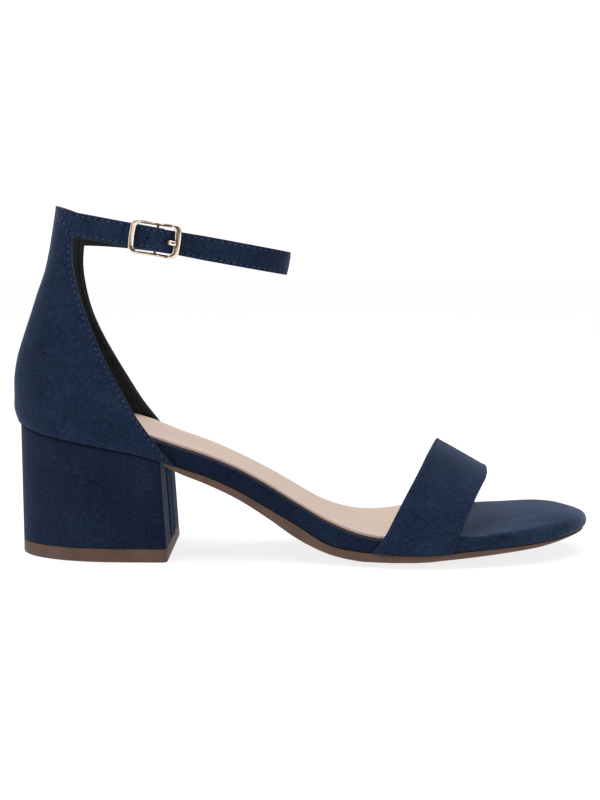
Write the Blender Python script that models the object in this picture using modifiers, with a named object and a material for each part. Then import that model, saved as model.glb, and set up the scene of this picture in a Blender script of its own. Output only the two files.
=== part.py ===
"""Block heel sandal, the right shoe of a pair, in metres with +Z up.

The toe points along +X, the outer side with the buckle faces -Y and the sole stands on z = 0.
Distances "along" are measured from the back end of the last, and the finished shoe is centred
on the origin by its parent empty.
"""
import math

import bmesh
import bpy
import numpy as np
from mathutils import Matrix, Vector

OUTER = -1
INNER = 1

# Last and sole, in metres
LENGTH = 0.240
BALL_WIDTH = 0.0785
SEAT_WIDTH = 0.0518
SEAT_HEIGHT = 0.0594
TOE_SPRING = 0.0048
FOOTBED_THICKNESS = 0.0080
OUTSOLE_THICKNESS = 0.0053
OUTSOLE_LIP = 0.0005
OUTSOLE_SIDE_LIFT = 1.15
EDGE_ROLL = 0.0020
ROLL_WIDTH = 0.0095
FLAT_PRESS = 0.0001
INSOLE_THICKNESS = 0.0008
INSOLE_INSET = 0.0007
INSOLE_BEVEL = 0.0005
INSOLE_SIDE_SHARE = 0.6
FOOTBED_EDGE_RADIUS = 0.0012
FOOTBED_LOWER_EDGE = 0.5
TOE_EDGE_RADIUS = 0.0033
GAP = 0.0003

# Both ends of the last are rounded arcs
SEAT_BACK = 0.0146 * LENGTH
HEEL_ARC_END = 0.1875 * LENGTH
TOE_ARC_START = 0.7083 * LENGTH
TOE_TIP = 0.995 * LENGTH
BALL_ALONG = 0.65 * LENGTH
HEEL_ROUNDNESS = 2.15
TOE_ROUNDNESS = 2.0

# Heel block and its top piece
HEEL_BREAST_TOP = 0.2642 * LENGTH
HEEL_BREAST_LEAN = 0.0026
HEEL_BACK_OVERHANG = 0.0007
HEEL_SIDE_OVERHANG = 0.0015
TOP_PIECE_THICKNESS = 0.0055
BREAST_SEAM_WIDTH = 0.0016
BREAST_SEAM_DEPTH = 0.0009

# Upper
COUNTER_WALL = 0.0018
COUNTER_TOP_HEIGHT = 0.1424
COUNTER_TOP_FALL = 0.0036
VAMP_WALL = 0.0017
VAMP_CLEARANCE = 0.0006
VAMP_REAR_RISE = 0.0342
VAMP_FRONT_RISE = 0.0208
VAMP_CREST_SHIFT = 0.0020
VAMP_ROUNDNESS = 2.4

# Ankle strap: one strap runs from the inner side round the front, its tail goes back through
# the buckle, and a short strap from the outer side is folded round the buckle's centre bar
STRAP_WIDTH = 0.0094
STRAP_THICKNESS = 0.0015
STRAP_TILT = math.radians(10.3)
STRAP_REAR_ALONG = 0.1125 * LENGTH
STRAP_REAR_HEIGHT = COUNTER_TOP_HEIGHT - 0.81 * STRAP_WIDTH
STRAP_SEAT_SHARE = 0.93
STRAP_BITE = 0.00045
STRAP_END_SLANT = 0.0092
STRAP_END_RISE = 0.0012
STRAP_END_LEAN = 0.15
SHORT_STRAP_DOUBLED = 0.017
DOUBLED_SHARE = 0.6
SHORT_STRAP_FLARE = 0.010
LONG_STRAP_WIDTH = STRAP_WIDTH * 1.01
TAIL_END_WIDTH = STRAP_WIDTH * 0.93
INNER_STRAP_DROP = 0.0036
INNER_DROP_POWER = 4.5
LOOP_FRONT = 0.474 * LENGTH
LOOP_HALF_WIDTH = 0.0222
HOLE_PITCH = 0.0079
HOLE_DIAMETER = 0.0016

# Buckle: a rounded frame on a centre bar, its end bars arched over the tail
BUCKLE_ALONG = 0.2596 * LENGTH
BUCKLE_TILT = math.radians(8.3)
BUCKLE_LENGTH = 0.0193
BUCKLE_WIRE = 0.0016
BUCKLE_BAR = 0.0021
BUCKLE_ROOM = 0.00055
BUCKLE_HEIGHT = STRAP_WIDTH + 2 * (BUCKLE_WIRE + BUCKLE_ROOM)
BUCKLE_CORNER = 0.0032
BUCKLE_BOW = 0.0005
CENTRE_BAR = 0.0014
PRONG_WIRE = 0.0015
PRONG_SLOPE = math.radians(50)
PRONG_HOLE_ALONG = 0.24 * BUCKLE_LENGTH
TAIL_LENGTH = 0.58 * BUCKLE_LENGTH
FOLD_HALF = CENTRE_BAR / 2 + GAP + STRAP_THICKNESS
TAIL_RIDE = FOLD_HALF + GAP + STRAP_THICKNESS / 2
BUCKLE_ARCH = 0.74 * TAIL_RIDE + STRAP_THICKNESS / 2 + GAP + BUCKLE_BAR / 2

# The last's plan between heel and toe: shares of LENGTH, then half widths as shares of a width
# that runs evenly from the seat's half width to the ball's
PLAN_COLUMNS = ("along", "outer", "inner")
PLAN = [
    (0.1875, 1.000, 1.000),
    (0.2500, 0.956, 0.905),
    (0.3000, 0.914, 0.775),
    (0.3500, 0.858, 0.652),
    (0.4042, 0.814, 0.560),
    (0.4583, 0.828, 0.545),
    (0.5083, 0.856, 0.575),
    (0.5583, 0.904, 0.660),
    (0.6083, 0.954, 0.785),
    (0.6583, 0.980, 0.915),
    (0.7083, 0.968, 0.990),
]

# Side profile: rise is a share of the climb from ball to seat, spring a share of TOE_SPRING,
# footbed and outsole are shares of their thickness, roll is a share of EDGE_ROLL
PROFILE_COLUMNS = ("along", "rise", "spring", "footbed", "outsole", "roll")
PROFILE = [
    (0.0000, 1.000, 0.000, 0.330, 0.20, 0.20),
    (0.0625, 0.969, 0.000, 0.700, 0.20, 0.20),
    (0.1250, 0.925, 0.000, 0.885, 0.20, 0.20),
    (0.1875, 0.872, 0.000, 0.965, 0.20, 0.20),
    (0.2417, 0.811, 0.000, 0.955, 0.20, 0.20),
    (0.2667, 0.771, 0.000, 0.945, 0.25, 0.25),
    (0.2917, 0.727, 0.000, 0.935, 0.57, 0.35),
    (0.3417, 0.638, 0.000, 0.915, 0.75, 0.40),
    (0.3917, 0.534, 0.000, 0.975, 0.83, 0.42),
    (0.4417, 0.409, 0.000, 1.060, 0.96, 0.45),
    (0.4917, 0.265, 0.000, 1.040, 1.18, 0.60),
    (0.5417, 0.127, 0.000, 1.075, 1.04, 0.85),
    (0.5917, 0.035, 0.000, 0.790, 1.12, 1.00),
    (0.6500, 0.000, 0.000, 0.645, 1.00, 1.05),
    (0.7083, 0.000, 0.125, 0.710, 1.02, 1.25),
    (0.7708, 0.000, 0.460, 0.775, 0.83, 1.00),
    (0.8333, 0.000, 0.690, 0.800, 0.73, 0.90),
    (0.8958, 0.000, 0.930, 0.830, 0.58, 0.80),
    (0.9500, 0.000, 1.060, 0.760, 0.32, 0.60),
    (1.0000, 0.000, 1.100, 0.640, 0.18, 0.40),
]

# Underside of the outsole towards its edge: share of ROLL_WIDTH in from the edge, share of the
# local roll that it is lifted by
UNDERSIDE_COLUMNS = ("inset", "lift")
UNDERSIDE = [
    (1.00, 0.00),
    (0.47, 0.55),
    (0.13, 0.88),
]

# Heel counter, a row per height: share of the height, back and front edge as shares of LENGTH,
# the place on the plan that the front edge reaches and how far the inner side's front edge
# stands ahead of the outer side's as shares of LENGTH, and the width's share
COUNTER_COLUMNS = ("height", "back", "front", "reach", "inner", "width")
COUNTER = [
    (0.00, 0.0066, 0.2892, 0.2892, -0.0057, 1.000),
    (0.06, 0.0008, 0.2680, 0.2680, -0.0106, 1.010),
    (0.12, 0.0008, 0.2498, 0.2498, -0.0120, 1.000),
    (0.20, 0.0016, 0.2250, 0.2215, -0.0118, 0.930),
    (0.30, 0.0083, 0.1989, 0.1900, -0.0089, 0.790),
    (0.40, 0.0196, 0.1746, 0.1803, -0.0070, 0.680),
    (0.50, 0.0329, 0.1543, 0.1820, -0.0080, 0.605),
    (0.60, 0.0458, 0.1378, 0.1830, -0.0087, 0.565),
    (0.70, 0.0579, 0.1251, 0.1812, -0.0065, 0.550),
    (0.80, 0.0666, 0.1176, 0.1783, -0.0040, 0.550),
    (0.90, 0.0733, 0.1180, 0.1762, -0.0012, 0.560),
    (1.00, 0.0804, 0.1214, 0.1750, 0.0005, 0.565),
]

# Where the strap follows the counter: shares of the way from the counter's back to its front
STRAP_ON_COUNTER = (0.36, 0.52, 0.68, 0.84, 0.98)

# Ankle loop seen from above: share of the way from counter to loop front, share of half width
LOOP = [
    (0.125, 0.838),
    (0.303, 0.967),
    (0.481, 1.000),
    (0.659, 0.943),
    (0.814, 0.771),
    (0.926, 0.505),
    (0.985, 0.235),
    (1.000, 0.000),
]

# How far the tail stands out from the loop's line near the buckle, measured along the strap
# from the centre bar: shares of BUCKLE_LENGTH and of TAIL_RIDE
TAIL_COLUMNS = ("along", "out")
TAIL = [
    (-0.60, 0.52),
    (-0.44, 0.64),
    (-0.20, 0.92),
    (0.00, 1.00),
    (0.16, 0.99),
    (0.28, 0.84),
    (0.42, 0.60),
    (0.70, 0.21),
    (0.95, 0.00),
]

# The vamp band's two edges are cuts: place on the floor at the middle line and belly at the
# crest as shares of LENGTH, and how far the cut moves forward for each unit up and for each
# unit towards the inner side
VAMP_CUT_COLUMNS = ("place", "lean", "skew", "belly")
VAMP_CUTS = [
    (0.6317, 0.526, 0.190, -0.0018),
    (0.7596, 0.410, 0.160, 0.0036),
]

NAVY = (0.018, 0.026, 0.048, 1.0)
BEIGE = (0.68, 0.53, 0.43, 1.0)
BROWN = (0.105, 0.068, 0.056, 1.0)
GOLD = (0.83, 0.62, 0.45, 1.0)


def column(table, names, name):
    """Values of one named column of a table."""
    place = names.index(name)
    return np.array([row[place] for row in table])


def smooth(xs, ys, x):
    """Cubic curve through the points, with slopes taken from their neighbours."""
    slopes = np.gradient(ys, xs)
    x = min(max(x, xs[0]), xs[-1])
    i = int(min(max(np.searchsorted(xs, x) - 1, 0), len(xs) - 2))
    step = xs[i + 1] - xs[i]
    t = (x - xs[i]) / step
    start = ys[i] * (1 + 2 * t) * (1 - t) ** 2 + slopes[i] * step * t * (1 - t) ** 2
    end = ys[i + 1] * t * t * (3 - 2 * t) + slopes[i + 1] * step * t * t * (t - 1)
    return float(start + end)


def profile(name, along):
    """A column of the side profile at a distance along the shoe."""
    shares = column(PROFILE, PROFILE_COLUMNS, "along")
    return smooth(shares, column(PROFILE, PROFILE_COLUMNS, name), along / LENGTH)


BALL_TOP = (profile("footbed", BALL_ALONG) * FOOTBED_THICKNESS + GAP
            + profile("outsole", BALL_ALONG) * OUTSOLE_THICKNESS - FLAT_PRESS)


def footbed_top(along):
    climb = profile("rise", along) * (SEAT_HEIGHT - BALL_TOP)
    return BALL_TOP + climb + profile("spring", along) * TOE_SPRING


def footbed_bottom(along):
    return footbed_top(along) - profile("footbed", along) * FOOTBED_THICKNESS


def outsole_top(along):
    return footbed_bottom(along) - GAP


def outsole_bottom(along):
    return max(outsole_top(along) - profile("outsole", along) * OUTSOLE_THICKNESS, 0.0)


def half_width(along, side):
    """Half width of the footbed's plan on one side, between the heel's and the toe's arcs."""
    share = (along - HEEL_ARC_END) / (TOE_ARC_START - HEEL_ARC_END)
    base = (SEAT_WIDTH * (1 - share) + BALL_WIDTH * share) / 2
    shares = column(PLAN, PLAN_COLUMNS, "along")
    name = "outer" if side == OUTER else "inner"
    return base * smooth(shares, column(PLAN, PLAN_COLUMNS, name), along / LENGTH)


def plan_point(along, side, grow=0.0):
    """Point of the plan's edge on one side, grown outward by a distance."""
    if along < HEEL_ARC_END:
        reach = min((HEEL_ARC_END - along) / (HEEL_ARC_END - SEAT_BACK), 1.0)
        width = (1 - reach ** HEEL_ROUNDNESS) ** (1 / HEEL_ROUNDNESS)
        half = (half_width(HEEL_ARC_END, side) + grow) * width
        return HEEL_ARC_END - (HEEL_ARC_END - SEAT_BACK + grow) * reach, side * half
    if along > TOE_ARC_START:
        reach = min((along - TOE_ARC_START) / (TOE_TIP - TOE_ARC_START), 1.0)
        width = (1 - reach ** TOE_ROUNDNESS) ** (1 / TOE_ROUNDNESS)
        half = (half_width(TOE_ARC_START, side) + grow) * width
        return TOE_ARC_START + (TOE_TIP - TOE_ARC_START + grow) * reach, side * half
    return along, side * (half_width(along, side) + grow)


def stations(start, end, count):
    """Distances along the shoe, closer together where an end is rounded."""
    first_turn = 0.11
    last_turn = math.pi / 2 - 0.07
    places = []
    if start < HEEL_ARC_END:
        for turn in np.linspace(first_turn, math.pi / 2, count // 3):
            places.append(HEEL_ARC_END - (HEEL_ARC_END - SEAT_BACK) * math.cos(turn))
        start = HEEL_ARC_END
    if end > TOE_ARC_START:
        middle = int(count * (TOE_ARC_START - start) / (LENGTH - start))
        places += list(np.linspace(start, TOE_ARC_START, middle))
        reach = (end - TOE_ARC_START) / (TOE_TIP - TOE_ARC_START)
        last_turn = math.asin(min(reach, math.sin(last_turn)))
        for turn in np.linspace(0, last_turn, count // 3)[1:]:
            places.append(TOE_ARC_START + (TOE_TIP - TOE_ARC_START) * math.sin(turn))
    else:
        places += list(np.linspace(start, end, count // 2))
    return sorted(set(round(place, 7) for place in places))


def edge_radius(along):
    """Radius of the footbed's upper edge, softer towards the toe's tip."""
    share = max(0.0, (along - TOE_ARC_START) / (TOE_TIP - TOE_ARC_START))
    return FOOTBED_EDGE_RADIUS + (TOE_EDGE_RADIUS - FOOTBED_EDGE_RADIUS) * share


def new_object(name, bm, collection=None):
    """Object made from a bmesh and shaded smooth between its sharp edges."""
    mesh = bpy.data.meshes.new(name)
    bm.to_mesh(mesh)
    bm.free()
    mesh.shade_smooth()
    mesh.set_sharp_from_angle(angle=math.radians(40))
    body = bpy.data.objects.new(name, mesh)
    (collection or PARTS).objects.link(body)
    return body


def new_solid(name, bm, collection=None):
    """Object made from a closed bmesh, its faces turned outward."""
    bmesh.ops.recalc_face_normals(bm, faces=bm.faces)
    return new_object(name, bm, collection)


def tool_object(name, bm):
    """Hidden object that cuts a piece or is joined to one."""
    body = new_solid(name, bm, CUTTERS)
    body.hide_render = True
    body.display_type = "WIRE"
    return body


def boolean(body, tool, operation):
    """Join a tool to a body or cut it from the body."""
    modifier = body.modifiers.new(tool.name, "BOOLEAN")
    modifier.operation = operation
    modifier.solver = "EXACT"
    modifier.object = tool


def slab(places, levels):
    """Closed loft of the plan between two stations.

    A level is a function of the distance along the shoe. It gives how far the edge is grown
    outward and the edge's height.
    """
    bm = bmesh.new()
    rings = []
    for level in levels:
        ring = []
        for side, run in ((OUTER, places), (INNER, places[::-1])):
            for place in run:
                grow, height = level(place)
                ring.append(bm.verts.new((*plan_point(place, side, grow), height)))
        rings.append(ring)
    count = len(rings[0])
    for low, high in zip(rings, rings[1:]):
        for i in range(count):
            j = (i + 1) % count
            bm.faces.new((low[i], low[j], high[j], high[i]))
    for ring in (rings[0], rings[-1]):
        for i in range(count // 2 - 1):
            bm.faces.new((ring[i], ring[i + 1], ring[count - 2 - i], ring[count - 1 - i]))
    return bm


def skin(name, rows, wall):
    """Wall of even thickness, its outer face lofted through rows of points.

    Seen from outside, the rows go up and each row runs to the left.
    """
    bm = bmesh.new()
    verts = [[bm.verts.new(point) for point in row] for row in rows]
    for low, high in zip(verts, verts[1:]):
        for i in range(len(low) - 1):
            bm.faces.new((low[i + 1], low[i], high[i], high[i + 1]))
    body = new_object(name, bm)
    modifier = body.modifiers.new("Wall", "SOLIDIFY")
    modifier.thickness = wall
    modifier.offset = -1
    return body


def rod(centre, axis, radius, length, sides=12):
    """Round rod along an axis, as a bmesh."""
    bm = bmesh.new()
    bmesh.ops.create_cone(bm, cap_ends=True, segments=sides, radius1=radius, radius2=radius,
                          depth=length)
    turn = Vector(axis).to_track_quat("Z", "Y").to_matrix().to_4x4()
    bmesh.ops.transform(bm, matrix=Matrix.Translation(centre) @ turn, verts=bm.verts)
    return bm


def block(place, size):
    """Box of a size, placed by a matrix, as a bmesh."""
    bm = bmesh.new()
    bmesh.ops.create_cube(bm, size=1.0)
    bmesh.ops.transform(bm, matrix=place @ Matrix.Diagonal((*size, 1.0)), verts=bm.verts)
    return bm


def wire(name, points, diameter, thickness=None, cyclic=False):
    """Round wire along points, its thickness at each given as a share of the diameter."""
    curve = bpy.data.curves.new(name, "CURVE")
    curve.dimensions = "3D"
    curve.bevel_depth = diameter / 2
    curve.bevel_resolution = 2
    curve.use_fill_caps = not cyclic
    spline = curve.splines.new("POLY")
    spline.points.add(len(points) - 1)
    for slot, point, share in zip(spline.points, points, thickness or [1.0] * len(points)):
        slot.co = (*point, 1.0)
        slot.radius = share
    spline.use_cyclic_u = cyclic
    holder = bpy.data.objects.new(name + "_curve", curve)
    PARTS.objects.link(holder)
    graph = bpy.context.evaluated_depsgraph_get()
    mesh = bpy.data.meshes.new_from_object(holder.evaluated_get(graph))
    bpy.data.objects.remove(holder)
    bm = bmesh.new()
    bm.from_mesh(mesh)
    bmesh.ops.remove_doubles(bm, verts=bm.verts, dist=0.00001)
    return new_solid(name, bm)


def spline_points(points, step):
    """Evenly spaced points on a smooth curve through the given ones."""
    points = np.array(points)
    chords = np.concatenate(([0], np.cumsum(np.linalg.norm(np.diff(points, axis=0), axis=1))))
    count = max(int(round(chords[-1] / step)), 2)
    places = np.linspace(0, chords[-1], count + 1)
    return [[smooth(chords, points[:, k], place) for k in range(points.shape[1])]
            for place in places]


def make_outsole():
    places = stations(HEEL_BREAST_TOP + 2 * GAP, LENGTH, 42)

    def underside(grow, lift):
        return lambda x: (grow, outsole_bottom(x) + lift * profile("roll", x) * EDGE_ROLL)

    insets = column(UNDERSIDE, UNDERSIDE_COLUMNS, "inset")
    lifts = column(UNDERSIDE, UNDERSIDE_COLUMNS, "lift")
    levels = [underside(-inset * ROLL_WIDTH, lift) for inset, lift in zip(insets, lifts)]
    levels += [underside(OUTSOLE_LIP, OUTSOLE_SIDE_LIFT), lambda x: (OUTSOLE_LIP, outsole_top(x))]
    return new_solid("outsole", slab(places, levels))


def make_footbed():
    def edge(inset, base, lift):
        return lambda x: (-inset * edge_radius(x), base(x) + lift * edge_radius(x))

    levels = [
        edge(FOOTBED_LOWER_EDGE, footbed_bottom, 0.0),
        edge(0.0, footbed_bottom, FOOTBED_LOWER_EDGE),
        edge(0.0, footbed_top, -1.0),
        edge(0.3, footbed_top, -0.3),
        edge(1.0, footbed_top, 0.0),
    ]
    return new_solid("footbed", slab(stations(0, LENGTH, 54), levels))


def make_insole():
    """Thin sock on the footbed. Its front end is hidden by the vamp band."""
    def level(inset, lift):
        return lambda x: (-inset, footbed_top(x) + GAP + lift)

    levels = [
        level(INSOLE_INSET, 0.0),
        level(INSOLE_INSET, INSOLE_THICKNESS * INSOLE_SIDE_SHARE),
        level(INSOLE_INSET + INSOLE_BEVEL, INSOLE_THICKNESS),
    ]
    end = vamp_cut(0, 0.0, VAMP_REAR_RISE, 0.0)
    return new_solid("insole", slab(stations(0, end, 46), levels))


def heel_solid(bottom, top):
    """Part of the heel between two heights. Its breast leans forward towards the floor."""
    def level(height):
        return lambda x: (HEEL_BACK_OVERHANG + (HEEL_SIDE_OVERHANG - HEEL_BACK_OVERHANG)
                          * min(x / HEEL_ARC_END, 1.0), height(x))

    bm = slab(stations(0, HEEL_BREAST_TOP, 30), [level(bottom), level(top)])
    for vert in bm.verts:
        down = 1 - vert.co.z / outsole_top(HEEL_BREAST_TOP)
        vert.co.x += HEEL_BREAST_LEAN * down * vert.co.x / HEEL_BREAST_TOP
    return bm


def make_heel_block():
    foot = TOP_PIECE_THICKNESS + GAP
    body = new_solid("heel_block", heel_solid(lambda x: foot, outsole_top))
    lean = math.atan2(HEEL_BREAST_LEAN, outsole_top(HEEL_BREAST_TOP))
    place = Matrix.Translation((HEEL_BREAST_TOP + HEEL_BREAST_LEAN, 0, 0))
    place = place @ Matrix.Rotation(-lean, 4, "Y")
    size = (BREAST_SEAM_DEPTH * 2, BREAST_SEAM_WIDTH, SEAT_HEIGHT * 2)
    boolean(body, tool_object("breast_seam", block(place, size)), "DIFFERENCE")
    return body


def make_heel_top_piece():
    bm = heel_solid(lambda x: 0.0, lambda x: TOP_PIECE_THICKNESS)
    return new_solid("heel_top_piece", bm)


def counter(name, height):
    """A column of the counter's table at a share of its height."""
    shares = column(COUNTER, COUNTER_COLUMNS, "height")
    return smooth(shares, column(COUNTER, COUNTER_COLUMNS, name), height)


def counter_front(name, side, height):
    """A column of the counter's table for its front edge, in metres, on one side."""
    ahead = counter("inner", height) if side == INNER else 0.0
    return (counter(name, height) + ahead) * LENGTH


def counter_along(side, share, height):
    """How far along the shoe the counter lies: share runs from its back to its front edge."""
    back = counter("back", height) * LENGTH
    return back + (counter_front("front", side, height) - back) * share


def counter_point(turn, height):
    """Point of the counter's outer face: turn runs from -1 at the outer side's front edge
    through 0 at the back to 1 at the inner side's, height from 0 to 1."""
    side = OUTER if turn < 0 else INNER
    share = 1 - math.cos(abs(turn) * math.pi / 2)
    place = SEAT_BACK + (counter_front("reach", side, height) - SEAT_BACK) * share
    half = abs(plan_point(place, side, COUNTER_WALL + GAP)[1])
    low = footbed_bottom(counter_along(side, share, 0))
    high = COUNTER_TOP_HEIGHT - COUNTER_TOP_FALL * share
    return (counter_along(side, share, height),
            side * half * counter("width", height),
            low + (high - low) * height)


def strap_height(along):
    """Height of the strap's middle line."""
    return STRAP_REAR_HEIGHT - math.tan(STRAP_TILT) * (along - STRAP_REAR_ALONG)


def loop_line(side):
    """The ankle loop's middle line on one side, seen from above, from counter to front."""
    lift = STRAP_THICKNESS / 2 - STRAP_BITE
    points = []
    for turn in STRAP_ON_COUNTER:
        x, y, _ = counter_point(side * turn, STRAP_SEAT_SHARE)
        ahead = counter_point(side * (turn + 0.01), STRAP_SEAT_SHARE)
        run = Vector((ahead[0] - x, ahead[1] - y)).normalized()
        points.append((x - run.y * side * lift, y + run.x * side * lift))
    start = counter("front", STRAP_SEAT_SHARE) * LENGTH
    for along, half in LOOP:
        x = start + along * (LOOP_FRONT - start)
        points.append((x, side * half * LOOP_HALF_WIDTH))
    return points


def strap_vertex(x, y, share, width):
    """Point of a strap from its place seen from above and its share up the strap's width."""
    up = share * width
    to_end = (STRAP_REAR_ALONG - x) / (STRAP_REAR_ALONG - counter("back", 1) * LENGTH)
    rise = STRAP_END_RISE * max(0.0, to_end) * (0.5 + share)
    near_end = (HEEL_ARC_END - x) / (HEEL_ARC_END - STRAP_REAR_ALONG)
    lean = math.sin(STRAP_TILT) + STRAP_END_LEAN * max(0.0, min(1.0, near_end))
    to_front = (LOOP_FRONT - x) / (LOOP_FRONT - STRAP_REAR_ALONG)
    drop = INNER_STRAP_DROP * max(0.0, min(1.0, to_front)) ** INNER_DROP_POWER
    drop = drop if y > 0 else 0.0
    return x + lean * up, y, strap_height(x) + math.cos(STRAP_TILT) * up + rise - drop


def ribbon(pairs, widths, step):
    """Strap solid from pairs of points, on its outer and inner face, seen from above.

    The pairs are a step apart, each with the strap's width, and the rear end is cut on a slant.
    """
    bm = bmesh.new()
    pairs = np.array(pairs)
    last = len(pairs) - 1
    sections = []
    for index, ((face, back), width) in enumerate(zip(pairs, widths)):
        low = index + max(0.0, STRAP_END_SLANT / step - index / 2)
        first = min(int(low), last)
        share = low - int(low)
        low_face, low_back = pairs[first] * (1 - share) + pairs[min(first + 1, last)] * share
        corners = [
            strap_vertex(*low_face, -0.5, width),
            strap_vertex(*face, 0.5, width),
            strap_vertex(*back, 0.5, width),
            strap_vertex(*low_back, -0.5, width),
        ]
        sections.append([bm.verts.new(corner) for corner in corners])
    for rear, front in zip(sections, sections[1:]):
        for k in range(4):
            m = (k + 1) % 4
            bm.faces.new((rear[k], rear[m], front[m], front[k]))
    bm.faces.new(sections[0])
    bm.faces.new(sections[-1])
    return bm


def line_normals(points):
    """Unit normals of a line seen from above, on the right of its direction."""
    runs = np.gradient(np.array(points), axis=0)
    runs /= np.linalg.norm(runs, axis=1, keepdims=True)
    return np.stack((runs[:, 1], -runs[:, 0]), axis=1)


def buckle_matrix():
    """Axes of the buckle: along the strap, outward and up the strap's width."""
    line = spline_points(loop_line(OUTER), 0.0005)
    middle = min(range(len(line)), key=lambda k: abs(line[k][0] - BUCKLE_ALONG))
    behind, ahead = line[middle - 4], line[middle + 4]
    run = Vector((ahead[0] - behind[0], ahead[1] - behind[1])).normalized()
    level = math.cos(BUCKLE_TILT)
    along = Vector((run.x * level, run.y * level, -math.sin(BUCKLE_TILT)))
    out = Vector((run.y, -run.x, 0.0))
    axes = Matrix((along, out, out.cross(along))).transposed().to_4x4()
    x, y = line[middle]
    return Matrix.Translation((x, y, strap_height(x))) @ axes


def make_short_strap():
    """Outer strap from the counter to its fold round the centre bar."""
    step = 0.0022
    half = STRAP_THICKNESS / 2
    line = spline_points(loop_line(OUTER), step)
    pairs = []
    for (x, y), normal in zip(line, line_normals(line)):
        ahead = x - BUCKLE_ALONG
        if ahead > -step / 2:
            break
        flare = max(0.0, 1 + ahead / SHORT_STRAP_FLARE)
        doubled = STRAP_THICKNESS * DOUBLED_SHARE if ahead > -SHORT_STRAP_DOUBLED else 0.0
        out = half + (FOLD_HALF - half) * flare ** 2
        back = out + doubled * (1 - flare)
        pairs.append(((x + normal[0] * out, y + normal[1] * out),
                      (x - normal[0] * back, y - normal[1] * back)))
    place = buckle_matrix()
    for turn in (-5, 25, 50, 72):
        reach = FOLD_HALF * math.sin(math.radians(turn))
        rise = FOLD_HALF * math.cos(math.radians(turn))
        pairs.append([(place @ Vector((reach, out, 0)))[:2] for out in (rise, -rise)])
    strap = tool_object("short_strap", ribbon(pairs, [STRAP_WIDTH] * len(pairs), step))
    up = place.to_3x3().col[2]
    bar_room = rod(place.translation, up, CENTRE_BAR / 2 + GAP, STRAP_WIDTH * 2)
    boolean(strap, tool_object("bar_room", bar_room), "DIFFERENCE")
    size = (FOLD_HALF * 2.6, FOLD_HALF * 2.6, PRONG_WIRE + 2 * GAP)
    boolean(strap, tool_object("prong_slot", block(place, size)), "DIFFERENCE")
    return strap


def tail_out(ahead):
    """How far the tail stands out at a distance ahead of the centre bar."""
    shares = column(TAIL, TAIL_COLUMNS, "along")
    return TAIL_RIDE * smooth(shares, column(TAIL, TAIL_COLUMNS, "out"), ahead / BUCKLE_LENGTH)


def prong_crossing():
    """Where the prong passes through the tail, and its direction, along and out."""
    centre = Vector((PRONG_HOLE_ALONG, tail_out(PRONG_HOLE_ALONG)))
    return centre, Vector((math.cos(PRONG_SLOPE), math.sin(PRONG_SLOPE)))


def make_long_strap():
    """Strap from the inner side of the counter, round the front and back through the buckle."""
    step = 0.0028
    half = STRAP_THICKNESS / 2
    line = spline_points(loop_line(INNER) + loop_line(OUTER)[-2::-1], step)
    front = max(range(len(line)), key=lambda k: line[k][0])
    pairs = []
    widths = []
    for number, ((x, y), normal) in enumerate(zip(line, line_normals(line))):
        ahead = x - BUCKLE_ALONG
        if number > front and ahead < -TAIL_LENGTH:
            break
        out = tail_out(ahead) if number > front else 0.0
        pairs.append([(x - normal[0] * shift, y - normal[1] * shift)
                      for shift in (out + half, out - half)])
        taper = max(0.0, min(1.0, 1 - ahead / BUCKLE_LENGTH)) if number > front else 0.0
        widths.append(LONG_STRAP_WIDTH + (TAIL_END_WIDTH - LONG_STRAP_WIDTH) * taper)
    strap = tool_object("long_strap", ribbon(pairs, widths, step))
    place = buckle_matrix()
    length = 2 * TAIL_RIDE
    for number in (-1, 1, 2):
        along = PRONG_HOLE_ALONG + number * HOLE_PITCH
        centre = place @ Vector((along, tail_out(along), 0))
        hole = rod(centre, place.to_3x3().col[1], HOLE_DIAMETER / 2, length, 10)
        boolean(strap, tool_object("strap_hole", hole), "DIFFERENCE")
    (along, out), (run, rise) = prong_crossing()
    axis = place.to_3x3() @ Vector((run, rise, 0))
    hole = rod(place @ Vector((along, out, 0)), axis, PRONG_WIRE / 2 + GAP * 1.3, length)
    boolean(strap, tool_object("prong_hole", hole), "DIFFERENCE")
    return strap


def make_heel_upper():
    """Heel counter, open in front and at its top, joined to both ends of the ankle strap."""
    heights = np.concatenate((np.linspace(0, 0.2, 5), np.linspace(0.3, 1, 9)))
    rows = [[counter_point(turn, height) for turn in np.linspace(-1, 1, 37)]
            for height in heights]
    upper = skin("counter_and_ankle_strap", rows, COUNTER_WALL)
    boolean(upper, make_short_strap(), "UNION")
    boolean(upper, make_long_strap(), "UNION")
    return upper


def vamp_cut(number, y, z, climb):
    """How far along the shoe one of the band's edges lies at a side place and a height."""
    cut = dict(zip(VAMP_CUT_COLUMNS, VAMP_CUTS[number]))
    place = cut["place"] + cut["belly"] * climb
    return place * LENGTH + cut["lean"] * z + cut["skew"] * y


def vamp_point(turn, run):
    """Point of the vamp band's outer face: turn 0 at the outer side of the sole, 1 at the
    inner side, run 0 at the rear edge and 1 at the front edge."""
    angle = math.pi * turn
    power = 2 / VAMP_ROUNDNESS
    climb = 0.0 if turn in (0, 1) else abs(math.sin(angle)) ** power
    side = OUTER if turn <= 0.5 else INNER
    rise = VAMP_REAR_RISE + (VAMP_FRONT_RISE - VAMP_REAR_RISE) * run
    x = vamp_cut(0, 0.0, 0.0, 0.0)
    for _ in range(12):
        edge = abs(plan_point(x, side, VAMP_CLEARANCE + VAMP_WALL)[1])
        y = side * edge * abs(math.cos(angle)) ** power + VAMP_CREST_SHIFT * climb
        foot = footbed_bottom(x) + GAP
        z = foot + (footbed_top(x) + rise - foot) * climb
        rear = vamp_cut(0, y, z, climb)
        x = rear + (vamp_cut(1, y, z, climb) - rear) * run
    return x, y, z


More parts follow.
